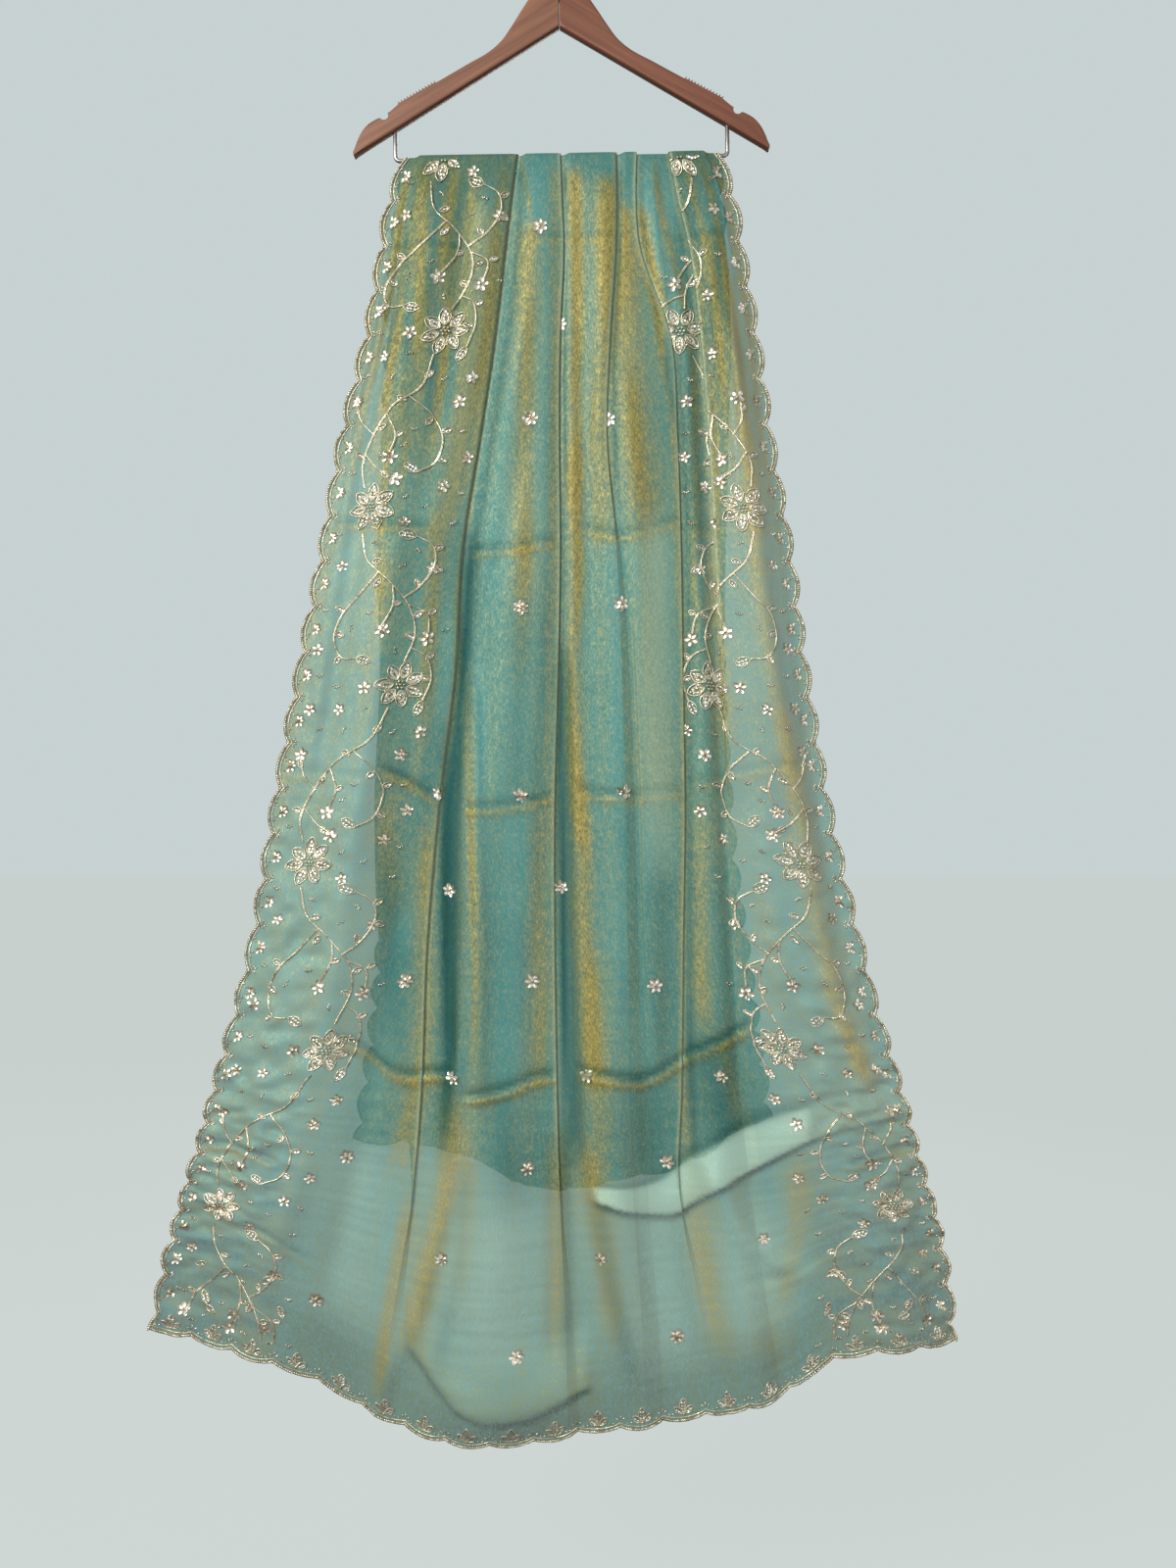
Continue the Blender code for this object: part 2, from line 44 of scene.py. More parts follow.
# One length of tissue over the trouser bar, as two falls. Millimetres, drop measured below the bar.
# Each fold has the place of its outer edge and the reach of its lap; under nought is a soft step.
cloth = {
    "cut": 900.0,
    "barHeight": -255.2,
    "wrap": 3.05,
    "layerTop": 1.3,
    "layerHem": 2.2,
    "layerFullDrop": 1380.0,
    "shortLap": 3.0,
    "turnRoom": 0.8,
    "turnDepth": 1.3,
    "riseRoom": 6.0,
    "softLap": 6.0,
    "edgeBand": 15.0,
    "leanFade": 350.0,
    "sideScallop": 8.5,
    "hemScallop": 6.0,
    "hemScallops": 19,
    "scallopReach": 34.0,
    "scallopPower": 0.7,
    "cornerLoss": 0.8,
    "cornerShare": 0.3,
    "borderTone": 165.0,
    "borderToneFade": 40.0,
    "columns": 262,
    "meshRows": 345,
    "bendRows": 7,
    "coarseShare": 0.62,
    "finePitch": 1.25,
    "fineRow": 2.7,
}
foldColumns = ("drop", "left", "a", "b", "e", "f", "h", "right", "lapA", "lapB", "lapE", "lapF", "lapH")
frontFolds = (
    (0, -171, -45, 0, 60, 81, 113, 171, 104, 36, 50, 12, 36),
    (50, -190, -51, 2, 61, 80, 122, 189, 115, 42, 48, 12, 46),
    (100, -198, -57, 4, 60, 84, 134, 197, 116, 44, 42, 15, 42),
    (200, -216, -69, 0, 53, 118, 147, 214, 110, 42, 26, 36, 34),
    (300, -240, -84, -1, 49, 125, 155, 228, 102, 40, 10, 46, 24),
    (420, -261, -103, 0, 58, 129, 162, 249, 94, 38, -4, 50, 14),
    (550, -286, -111, -2, 64, 131, 170, 266, 82, 38, -8, 50, 4),
    (700, -313, -129, -6, 68, 133, 180, 291, 70, 36, -10, 46, -5),
    (850, -338, -142, -6, 70, 131, 191, 325, 52, 30, -12, 41, -8),
    (1000, -374, -148, -4, 72, 129, 200, 363, 22, 14, -14, 20, -10),
    (1120, -396, -158, -1, 76, 126, 212, 386, 2, 1, -16, 2, -12),
    (1250, -420, -178, 4, 84, 146, 230, 410, -9, -8, -18, -8, -14),
    (1380, -441, -196, 8, 90, 165, 250, 424, -15, -12, -20, -12, -16),
)
backFolds = (
    (0, -171, -45, 0, 60, 81, 113, 171, 104, 36, 50, 12, 36),
    (60, -182, -50, 2, 58, 84, 118, 177, 112, 42, 46, 16, 44),
    (150, -190, -56, 4, 56, 88, 122, 174, 114, 50, 42, 22, 38),
    (300, -194, -60, 4, 54, 94, 124, 172, 112, 54, 40, 30, 34),
    (450, -194, -62, 2, 53, 98, 126, 174, 108, 54, 42, 34, 34),
    (600, -194, -62, 0, 52, 100, 129, 179, 106, 53, 42, 36, 36),
    (750, -196, -60, 0, 53, 103, 134, 190, 106, 50, 42, 36, 40),
    (900, -203, -56, 2, 55, 107, 141, 206, 104, 48, 40, 34, 46),
    (1010, -213, -53, 4, 57, 110, 147, 218, 100, 45, 38, 32, 50),
    (1110, -226, -50, 6, 60, 114, 151, 228, 96, 42, 36, 30, 54),
)
swellColumns = ("drop", "leftToA", "aToB", "bToF", "fToH", "hToRight")
frontSwells = (
    (0, 0, 0, 0, 0, 0),
    (50, 3, 2, 3, 1, 3),
    (100, 5, 3, 4, 2, 5),
    (200, 8, 5, 6, 3, 7),
    (420, 12, 8, 10, 5, 11),
    (700, 15, 12, 13, 7, 13),
    (1000, 17, 15, 15, 11, 15),
    (1250, 18, 20, 16, 14, 16),
    (1380, 14, 12, 12, 10, 14),
)
backSwells = (
    (0, 0, 0, 0, 0, 0),
    (60, 3, 2, 3, 1, 3),
    (150, 6, 4, 5, 3, 6),
    (300, 9, 7, 8, 4, 9),
    (600, 13, 11, 12, 6, 12),
    (900, 17, 15, 15, 9, 16),
    (1110, 19, 16, 16, 10, 18),
)
# The hem's line as (across, drop)
frontHem = (
    (-441, 1256), (-374, 1270), (-278, 1296), (-192, 1349), (-103, 1371), (-23, 1371),
    (38, 1360), (159, 1346), (239, 1322), (296, 1284), (424, 1271),
)
backHem = (
    (-226, 1058), (-130, 1073), (-72, 1088), (-40, 1110), (35, 1108), (133, 1085), (189, 1053), (228, 1034),
)

# Soft ridges and troughs: the way of each as (drop, across), its half width and its height
ridgeColumns = ("way", "half", "height")
frontRidges = (
    (((10, -112), (90, -103), (200, -120), (330, -140)), 9, -2.6),
    (((20, -150), (100, -138), (190, -163), (320, -182)), 11, 3.2),
    (((30, -72), (130, -82), (240, -100), (340, -122), (420, -138)), 13, 4.0),
    (((360, -128), (514, -143), (611, -147), (700, -150)), 6, 2.8),
    (((60, -30), (140, -33), (240, -52), (330, -70)), 12, 3.2),
    (((300, -38), (420, -62), (520, -84), (640, -90)), 12, -2.6),
    (((500, -110), (650, -105), (790, -101), (900, -103), (1000, -112)), 9, 3.6),
    (((960, -118), (1060, -121), (1146, -132), (1229, -151), (1354, -190)), 12, 5.5),
    (((60, -12), (200, -14), (400, -18), (650, -30), (820, -34)), 9, 2.6),
    (((700, -62), (850, -66), (1000, -72), (1150, -84), (1250, -96)), 16, -3.6),
    (((60, 8), (300, 9), (676, 11), (842, 18), (1031, 27), (1150, 39), (1242, 57)), 7, 3.2),
    (((0, 30), (30, 27), (60, 27)), 5, 2.4),
    (((20, 44), (120, 46), (240, 40), (340, 36)), 8, 3.0),
    (((200, 26), (400, 32), (600, 40), (760, 44), (930, 48)), 9, -2.4),
    (((240, 66), (400, 82), (560, 92), (760, 98), (960, 100)), 11, 2.8),
    (((900, 70), (1040, 74), (1160, 84), (1280, 104)), 12, -3.0),
    (((0, 96), (74, 99), (130, 106), (180, 114)), 5, 2.4),
    (((90, 157), (155, 161), (236, 186), (357, 204), (531, 221), (692, 251), (872, 284), (993, 321)),
     10, 4.2),
    (((340, 236), (500, 250), (700, 276), (860, 308)), 9, -2.8),
    (((200, 140), (400, 152), (600, 166), (800, 178), (1000, 188)), 8, -2.6),
    (((700, 210), (860, 226), (1010, 252), (1140, 276)), 14, 3.4),
    (((300, -206), (450, -222), (620, -248), (800, -276)), 11, -3.2),
    (((120, -186), (260, -204), (420, -236), (640, -268)), 9, 2.6),
    (((420, -176), (600, -198), (780, -224), (960, -252)), 15, 4.4),
    (((800, -176), (960, -196), (1120, -222), (1260, -246)), 13, -4.0),
    (((860, -300), (1000, -318), (1140, -342), (1250, -362)), 15, 4.2),
    (((900, 240), (1040, 300), (1100, 372)), 13, -3.0),
    (((1080, 150), (1180, 196), (1260, 262)), 15, 4.6),
    (((1100, -270), (1190, -290), (1290, -312)), 12, 3.8),
    (((420, -96), (560, -105), (700, -116), (850, -118), (1000, -120)), 8, -5.0),
    (((560, -92), (700, -90), (850, -86), (1000, -88)), 7, 4.0),
    (((540, 4), (700, 5), (860, 8), (1080, 16)), 7, -5.0),
    (((300, 13), (600, 16), (860, 26), (1060, 40)), 7, 2.6),
)
backRidges = (
    (((20, -140), (200, -152), (500, -158), (900, -166)), 11, 4.0),
    (((40, -110), (260, -116), (560, -118), (980, -122)), 9, -3.0),
    (((80, -84), (300, -86), (600, -90), (1040, -86)), 10, 4.4),
    (((20, -26), (200, -28), (500, -34), (860, -26)), 8, 3.4),
    (((60, 24), (260, 26), (640, 24), (1000, 30)), 8, 3.6),
    (((240, 40), (520, 40), (840, 44)), 6, -2.4),
    (((30, 72), (300, 76), (620, 80), (1000, 84)), 7, 3.0),
    (((30, 140), (260, 146), (560, 148), (960, 172)), 9, 3.8),
    (((420, 160), (700, 170), (1000, 198)), 8, -3.0),
)

# Creases left by packing: the way of each as (across, drop), its half width and its height
frontCreases = (
    (((-30, 92), (60, 93)), 3.5, 1.2),
    (((-206, 104), (-150, 100), (-104, 104)), 3.5, 1.0),
    (((112, 96), (186, 92)), 3.5, 1.0),
    (((-244, 396), (-190, 399), (-135, 403)), 4, 2.0),
    (((-98, 426), (-60, 424), (-4, 414)), 4, 2.2),
    (((26, 402), (62, 410), (128, 392)), 4, 2.2),
    (((134, 404), (250, 398)), 4, 0.9),
    (((-190, 658), (-159, 673), (-134, 690)), 4.5, 3.4),
    (((-300, 662), (-200, 668)), 4, 1.0),
    (((-103, 700), (-60, 698), (-9, 687)), 4, 2.4),
    (((14, 676), (38, 685), (132, 682)), 4, 2.4),
    (((136, 676), (200, 660), (280, 652)), 4, 1.3),
    (((-236, 944), (-206, 958), (-177, 983), (-120, 983)), 5, 4.0),
    (((-101, 1008), (-60, 1000), (-30, 988), (-6, 986)), 5, 4.6),
    (((17, 980), (60, 988), (91, 990), (134, 966), (200, 934)), 5, 4.6),
    (((-400, 1196), (-330, 1210), (-262, 1240)), 6, 1.3),
    (((-410, 1110), (-350, 1098), (-300, 1112)), 6, 2.0),
    (((300, 1120), (350, 1104), (392, 1100)), 6, 2.4),
    (((190, 1236), (250, 1246), (320, 1238)), 9, 0.7),
)
backCreases = (
    (((-190, 210), (60, 204), (172, 214)), 4, 2.0),
    (((-192, 496), (20, 488), (174, 500)), 4, 2.2),
    (((-196, 800), (10, 790), (190, 806)), 4.5, 2.6),
)

# Rolls of slack cloth: each swells from its upper line to a lip on its lower line, as (across, drop),
# with its height, the strength of its painted highlight and how dark the painted shade under its lip is
rollColumns = ("upper", "lower", "height", "paintedHighlight", "edge")
frontRolls = (
    (((36, 1106), (105, 1102), (124, 1086), (160, 1062), (200, 1042), (262, 1022)),
     ((36, 1121), (105, 1142), (124, 1141), (160, 1116), (200, 1098), (262, 1068)), 7.5, 0.85, 0.52),
    (((262, 1022), (360, 1000)), ((262, 1068), (360, 1050)), 3.5, 0.25, 0.36),
    (((-160, 1216), (-108, 1256), (-56, 1268), (30, 1250)),
     ((-160, 1286), (-108, 1334), (-56, 1345), (30, 1326)), 5.5, 0.12, 0.42),
)

# Painted gold sheen, where the shot cloth turns gold to the light: the way of each band as (drop, across),
# its half width and its strength
bandColumns = ("way", "half", "strength")
frontSheens = (
    (((60, -84), (200, -90), (300, -106), (366, -117), (410, -131)), 9, 1.0),
    (((395, -133), (520, -141), (600, -147), (690, -160)), 7, 0.8),
    (((90, -66), (200, -75), (330, -92), (430, -107)), 3.2, 0.7),
    (((440, -112), (600, -116), (720, -134)), 3.6, 0.55),
    (((690, -176), (730, -178), (800, -170)), 13, 0.6),
    (((720, -142), (840, -144), (985, -147)), 12, 0.95),
    (((985, -150), (1040, -161), (1095, -172)), 17, 0.8),
    (((10, -150), (130, -145), (260, -157), (380, -176)), 6, 0.7),
    (((10, -118), (120, -116), (240, -128), (340, -142)), 5, 0.7),
    (((20, -168), (140, -170), (300, -186), (500, -190)), 7, 0.6),
    (((440, -186), (540, -200), (640, -214)), 10, 0.45),
    (((30, -190), (200, -208), (420, -250), (640, -294), (800, -320)), 8, 0.5),
    (((20, -98), (100, -96), (160, -100)), 5, 0.6),
    (((80, -33), (200, -35), (330, -40), (480, -46)), 12, 1.0),
    (((330, -44), (440, -44), (560, -48)), 14, 0.35),
    (((8, -43), (50, -36), (96, -29)), 2.3, 1.1),
    (((20, -6), (300, -8), (600, -11), (720, -15)), 5.5, 0.75),
    (((560, -103), (700, -96), (850, -91), (985, -92)), 6, 0.7),
    (((700, -24), (840, -23), (985, -22)), 12, 0.8),
    (((985, -88), (1020, -86), (1060, -92)), 12, 0.45),
    (((990, -40), (1060, -30), (1110, -26)), 22, 0.1),
    (((1010, -108), (1080, -115), (1180, -134), (1290, -162)), 13, 1.3),
    (((1060, -98), (1130, -97), (1220, -108)), 9, 0.9),
    (((1130, -162), (1250, -181), (1350, -197)), 9, 1.1),
    (((1060, -4), (1180, -3), (1290, 0)), 12, 1.1),
    (((20, 14), (120, 15), (360, 14)), 9, 1.25),
    (((30, 50), (110, 50), (200, 46), (300, 40)), 12, 1.1),
    (((330, 13), (500, 14), (720, 16)), 9, 1.25),
    (((700, 20), (860, 27), (985, 34)), 10, 1.0),
    (((860, 34), (985, 42), (1075, 46)), 14, 0.6),
    (((300, 43), (360, 43), (412, 43)), 13, 0.9),
    (((60, 62), (220, 72), (330, 82), (408, 84)), 19, 1.2),
    (((412, 88), (520, 92), (700, 98)), 20, 0.6),
    (((60, 88), (110, 94), (165, 101)), 7, 0.8),
    (((160, 101), (200, 103), (240, 106)), 5, 1.2),
    (((100, 84), (240, 112), (400, 124), (720, 128), (985, 127)), 3.6, 0.8),
    (((960, 129), (1030, 130), (1090, 134)), 6, 0.8),
    (((1070, 31), (1160, 44), (1270, 58)), 14, 1.1),
    (((1100, 136), (1200, 150), (1310, 172)), 14, 0.9),
    (((1100, 246), (1180, 248), (1270, 238)), 13, 1.0),
    (((1280, 196), (1310, 214), (1330, 236)), 26, 0.4),
    (((1305, 22), (1330, 25), (1360, 27)), 15, 0.6),
    (((90, 160), (220, 166), (400, 164), (620, 170)), 8, 0.75),
    (((100, 150), (300, 142), (500, 142)), 5, 0.6),
    (((120, 176), (340, 200), (493, 215), (646, 240), (739, 257), (906, 290), (1001, 323)),
     11, 0.95),
    (((700, 148), (800, 148), (930, 152)), 12, 0.75),
    (((940, 170), (1010, 186), (1080, 205)), 9, 0.35),
)
backSheens = (
    (((20, -140), (200, -152), (500, -158), (1000, -168)), 10, 0.8),
    (((40, -100), (260, -106), (560, -108), (980, -110)), 8, 0.6),
    (((30, -64), (300, -74), (700, -78), (1040, -72)), 7, 0.9),
    (((20, -24), (200, -28), (500, -34), (980, -26)), 12, 0.8),
    (((20, -4), (300, -5), (1060, -2)), 4, 0.7),
    (((60, 24), (260, 26), (640, 24), (1000, 30)), 9, 0.9),
    (((30, 72), (300, 76), (620, 80), (1000, 84)), 9, 0.8),
    (((30, 118), (260, 120), (560, 126), (960, 140)), 6, 0.7),
    (((30, 146), (260, 152), (560, 154), (960, 176)), 8, 0.7),
)

# Deep places that the light hardly reaches, beside the folds, laid out as the bands above are
frontShades = (
    (((10, -44), (60, -44), (130, -50), (220, -62), (340, -80), (430, -94)), 6, 0.55),
    (((420, -97), (560, -105), (700, -116), (985, -120), (1060, -124)), 10, 0.95),
    (((620, -125), (760, -126), (985, -116)), 6, 0.5),
    (((20, 3), (300, 3), (700, -1), (860, 1), (1000, 2)), 2.6, 0.7),
    (((540, 4), (700, 5), (860, 8), (1080, 16)), 8, 0.7),
    (((1040, 2), (1180, 6), (1300, 8)), 8, 0.62),
    (((20, 62), (100, 62), (200, 56), (360, 58)), 4, 0.65),
    (((60, 84), (120, 92), (200, 106), (300, 124)), 3, 0.5),
    (((200, 121), (400, 133), (720, 136), (985, 138), (1080, 142)), 5, 0.55),
    (((60, 130), (200, 136), (420, 146)), 11, 0.35),
    (((940, 158), (1010, 168), (1060, 176)), 30, 0.55),
    (((740, -186), (860, -178), (960, -182)), 14, 0.35),
    (((985, -70), (1060, -60), (1110, -52)), 18, 0.3),
    (((985, 84), (1060, 92), (1100, 96)), 24, 0.3),
    (((1080, -100), (1200, -110), (1290, -128)), 8, 0.5),
    (((1120, -114), (1200, -134), (1290, -160)), 7, 0.3),
    (((1120, 38), (1230, 56), (1320, 76)), 11, 0.52),
    (((1130, 118), (1220, 130), (1300, 144)), 11, 0.34),
    (((1060, -14), (1180, -14), (1280, -16)), 6, 0.3),
)

# Painted highlights where the cloth catches the light, laid out in the same way
frontPaintedHighlights = (
    (((400, 98), (560, 100), (760, 104)), 16, 0.82),
    (((60, -86), (200, -94), (300, -107), (420, -128)), 8, 0.4),
    (((1000, -90), (1120, -100), (1260, -120)), 22, 0.25),
    (((1130, 100), (1220, 108), (1320, 120)), 40, 0.48),
    (((1130, -60), (1200, -62), (1290, -66)), 46, 0.62),
    (((1150, 196), (1230, 206), (1300, 214)), 40, 0.58),
    (((1080, -206), (1180, -214), (1290, -226)), 38, 0.46),
    (((60, -20), (300, -22), (600, -28)), 7, 0.16),
)

backShades = (
    (((20, -43), (300, -56), (700, -57), (1080, -46)), 5, 0.6),
    (((20, 3), (500, 5), (1080, 8)), 5, 0.6),
    (((20, 62), (500, 56), (1080, 62)), 5, 0.6),
    (((20, 84), (500, 101), (1080, 116)), 5, 0.5),
)


# Rows of a table as dictionaries under the names of its columns
def namedRows(columns, rows):
    return [dict(zip(columns, row)) for row in rows]


# flute: height, width, offset and first drop. billow: height, place and half width across, then down.
# shift: how far the trail sidesteps at the left and right. spread: first drop and rate of its stretch.
# gathers: first and last fold, count, height and last drop.
falls = {
    "front": {
        "side": -1, "length": 1380.0, "hemFrom": 900.0, "fineRowsFrom": 1000.0, "scallopsDown": 28,
        "folds": frontFolds, "swells": frontSwells, "hem": frontHem,
        "ridges": namedRows(ridgeColumns, frontRidges), "creases": namedRows(ridgeColumns, frontCreases),
        "rolls": namedRows(rollColumns, frontRolls), "sheens": namedRows(bandColumns, frontSheens),
        "shades": namedRows(bandColumns, frontShades), "paintedHighlights": namedRows(bandColumns, frontPaintedHighlights),
        "shift": (-30.0, 38.0), "spread": (900.0, 0.24),
        "flute": (8.0, 165.0, 30.0, 700.0), "billow": (22.0, -55.0, 75.0, 1340.0, 38.0),
        "gathers": (("left", "a", 8, 1.3, 520.0), ("f", "h", 2, 0.9, 330.0), ("h", "right", 4, 1.3, 520.0)),
        "pucker": 4.0, "puckerFrom": 560.0, "seed": 11,
    },
    "back": {
        "side": 1, "length": 1110.0, "hemFrom": 700.0, "fineRowsFrom": 800.0, "scallopsDown": 23,
        "folds": backFolds, "swells": backSwells, "hem": backHem,
        "ridges": namedRows(ridgeColumns, backRidges), "creases": namedRows(ridgeColumns, backCreases),
        "rolls": (), "sheens": namedRows(bandColumns, backSheens),
        "shades": namedRows(bandColumns, backShades), "paintedHighlights": (),
        "shift": (0.0, 0.0), "spread": (700.0, 0.13),
        "flute": (7.0, 118.0, -20.0, 500.0), "billow": (0.0, 0.0, 75.0, 900.0, 50.0),
        "gathers": (("left", "a", 8, 1.3, 420.0), ("h", "right", 4, 1.3, 420.0)),
        "pucker": 2.6, "puckerFrom": 460.0, "seed": 23,
    },
}
# How the relief swells and runs out at the ends of its ways, in millimetres
relief = {
    "nearBar": 40.0, "barStart": 4.0, "barFade": 40.0, "fadeIn": 60.0, "pastEnd": 60.0, "fadeOut": 110.0,
    "creaseLift": 1.9, "creaseEnds": 12.0, "lipPower": 1.6, "lipFall": 5.0, "rollEnds": 14.0,
}
# Puckers of the borders: the cells of their noise, where they start and how much the layers beneath lose
puckers = {
    "border": 150.0, "borderFade": 60.0, "lowFade": 400.0, "calmFrom": 30.0, "calmFade": 60.0,
    "bigCell": (19.0, 14.0), "smallCell": (10.0, 9.0), "smallShare": 0.5,
    "crinkleCell": (70.0, 5.0), "crinkle": 0.34, "above": 0.22, "below": 0.78, "layerLoss": 0.35,
    "deepest": -1.8,
}
# Where the gathers fade beside the folds, below the bar and above their foot, and how far they wander
gathering = {
    "nearSide": 0.10, "farSide": 0.14, "from": 2.0, "fade": 36.0, "foot": 0.75,
    "wander": 0.9, "wanderCell": (34.0, 150.0),
}
noiseSize = 96


# A cubic ease from nought to one
def ease(amount):
    t = np.clip(amount, 0.0, 1.0)
    return t * t * (3.0 - 2.0 * t)


# A cubic through the rows of a table, whose slope at a row is the mean of the slopes beside it
def throughRows(at, knots, values):
    slopes = np.diff(values) / np.diff(knots)
    tangents = np.concatenate(([slopes[0]], (slopes[1:] + slopes[:-1]) / 2, [slopes[-1]]))
    at = np.clip(at, knots[0], knots[-1])
    cell = np.clip(np.searchsorted(knots, at) - 1, 0, len(knots) - 2)
    width = knots[cell + 1] - knots[cell]
    t = (at - knots[cell]) / width
    start = values[cell] * (1 + 2 * t) * (1 - t) ** 2 + tangents[cell] * width * t * (1 - t) ** 2
    end = values[cell + 1] * t * t * (3 - 2 * t) - tangents[cell + 1] * width * t * t * (1 - t)
    return start + end


# The cubic above through rows of two numbers, as an array or a plain list
def throughWay(at, rows):
    rows = np.array(rows, float)
    return throughRows(at, rows[:, 0], rows[:, 1])


# Vectors divided by their own length
def unit(vectors, least=1e-9):
    return vectors / np.maximum(np.linalg.norm(vectors, axis=-1, keepdims=True), least)


# The length run at each point of a line, nought at its start
def runAlong(points):
    return np.concatenate(([0], np.cumsum(np.hypot(*np.diff(points, axis=0).T))))


# Named columns of a table, read at every drop as a column vector
def readTable(columns, rows, drop):
    table = np.array(rows, float)
    return {name: throughRows(drop, table[:, 0], table[:, k])[:, None]
            for k, name in enumerate(columns) if k > 0}


# Smooth random field: seeded numbers on a coarse grid, joined by eased steps both ways
def softNoise(x, y, cellX, cellY, seed):
    dice = np.random.default_rng(seed)
    table = dice.uniform(-1.0, 1.0, (noiseSize, noiseSize))
    u, v = x / cellX, y / cellY
    i, j = np.floor(u).astype(int), np.floor(v).astype(int)
    fu, fv = ease(u - i), ease(v - j)
    i, j, i2, j2 = i % noiseSize, j % noiseSize, (i + 1) % noiseSize, (j + 1) % noiseSize
    low = table[i, j] * (1 - fu) + table[i2, j] * fu
    high = table[i, j2] * (1 - fu) + table[i2, j2] * fu
    return low * (1 - fv) + high * fv


# A half ellipse that turns the cloth from one layer to the next at a fold, opening to the left or right
def foldTurn(edge, depth, levelFrom, levelTo, opens):
    points = []
    for angle in np.radians((90.0, 45.0, 0.0, -45.0, -90.0)):
        middle, half = (levelFrom + levelTo) / 2, (levelFrom - levelTo) / 2
        points.append((edge - opens * depth * (1 - cos(angle)), middle + half * sin(angle)))
    return points


# The folded section at every drop: across and layer of each knot, from the left edge to the right
def sectionKnots(fall, drop):
    folds = readTable(foldColumns, fall["folds"], drop)
    zero = np.zeros_like(folds["left"])
    knots = [(folds["left"], zero), (folds["left"] + cloth["edgeBand"], zero)]

    def slopeTo(x, level, count):
        startX, startLevel = knots[-1]
        for step in range(1, count + 1):
            t = step / (count + 1)
            knots.append((startX + (x - startX) * t, startLevel + (level - startLevel) * float(ease(t))))
        knots.append((x, zero + level))

    def lapOf(name, other):
        room = np.abs(folds[name] - folds[other]) - cloth["riseRoom"]
        if other in ("left", "right"):
            room = room - cloth["edgeBand"]
        lap = np.minimum(folds["lap" + name.upper()], room)
        reach = np.maximum(lap, cloth["shortLap"])
        tilt = 0.5 * (1.0 - np.clip(lap / cloth["softLap"], -1.0, 1.0))
        depth = np.minimum(cloth["turnDepth"] * np.maximum(1.0 - 2.0 * tilt, 0.0), np.maximum(lap, 0.4) / 3)
        return lap, reach, tilt, depth

    before = "left"
    for name, count in (("a", 7), ("b", 6), ("e", 5), ("f", 4)):
        edge = folds[name]
        lap, reach, tilt, depth = lapOf(name, before)
        slopeTo(edge - reach - cloth["turnRoom"], 2.0, count)
        knots.append((edge - reach / 2, zero + 2.0))
        knots.extend(foldTurn(edge, depth, zero + 2.0, 1.0 + tilt, 1))
        knots.append((edge - lap / 2, zero + 1.0))
        knots.extend(foldTurn(edge - lap, depth, 1.0 - tilt, zero, -1))
        knots.append((edge - lap + reach / 2, zero))
        knots.append((edge - lap + reach + cloth["turnRoom"], zero))
        before = name

    edge = folds["h"]
    lap, reach, tilt, depth = lapOf("h", "right")
    slopeTo(edge + lap - reach - cloth["turnRoom"], 0.0, 4)
    knots.append((edge + lap - reach / 2, zero))
    knots.extend(foldTurn(edge + lap, depth, zero, 1.0 - tilt, 1))
    knots.append((edge + lap / 2, zero + 1.0))
    knots.extend(foldTurn(edge, depth, 1.0 + tilt, zero + 2.0, -1))
    knots.append((edge + reach / 2, zero + 2.0))
    knots.append((edge + reach + cloth["turnRoom"], zero + 2.0))
    slopeTo(folds["right"] - cloth["edgeBand"], 0.0, 7)
    knots.append((folds["right"], zero))
    x = np.concatenate([np.broadcast_to(k[0], zero.shape) for k in knots], axis=1)
    level = np.concatenate([np.broadcast_to(k[1], zero.shape) for k in knots], axis=1)
    return x, level, folds


# How far the cloth stands out: a raised sine over each panel, hem flutes, the billow, and each ridge
# and crease as a bell across its way, faded at its ends
def standOut(fall, folds, x, drop):
    heights = readTable(swellColumns, fall["swells"], drop)
    down = drop[:, None]
    out = np.zeros_like(x)
    bounds = ("left", "a", "b", "f", "h", "right")
    for start, end in zip(bounds, bounds[1:]):
        name = start + "To" + end[0].upper() + end[1:]
        across = np.clip((x - folds[start]) / (folds[end] - folds[start]), 0.0, 1.0)
        out += heights[name] * np.sin(pi * across) ** 2
    height, width, offset, start = fall["flute"]
    rise = ease((down - start) / (fall["length"] - start))
    out += height * rise * (0.5 + 0.5 * np.cos(2 * pi * (x - offset) / width))
    height, across, halfAcross, at, halfDrop = fall["billow"]
    out += height * np.exp(-(((x - across) / halfAcross) ** 2) - ((down - at) / halfDrop) ** 2)
    for height, fade, phase in gatherWaves(fall, folds, x, down):
        out += height * fade * np.cos(phase)
    for ridge in fall["ridges"]:
        way = ridge["way"]
        if way[0][0] < relief["nearBar"]:
            fade = ease((down - relief["barStart"]) / relief["barFade"])
        else:
            fade = ease((down - way[0][0] + relief["fadeIn"] / 2) / relief["fadeIn"])
        fade = fade * ease((way[-1][0] + relief["pastEnd"] - down) / relief["fadeOut"])
        line = throughWay(drop, way)[:, None]
        out += ridge["height"] * fade * np.exp(-(((x - line) / ridge["half"]) ** 2))
    for crease, below, fade in creaseLines(fall, x, down):
        out += relief["creaseLift"] * crease["height"] * fade * below * np.exp(-below * below)
    for roll, share, past, fade in rollPlaces(fall, x, down):
        swell = np.sin(pi / 2 * np.clip(share, 0, 1)) ** relief["lipPower"]
        lip = np.where(share < 1, swell, np.exp(-((past / relief["lipFall"]) ** 2)))
        out += roll["height"] * fade * lip
    return out


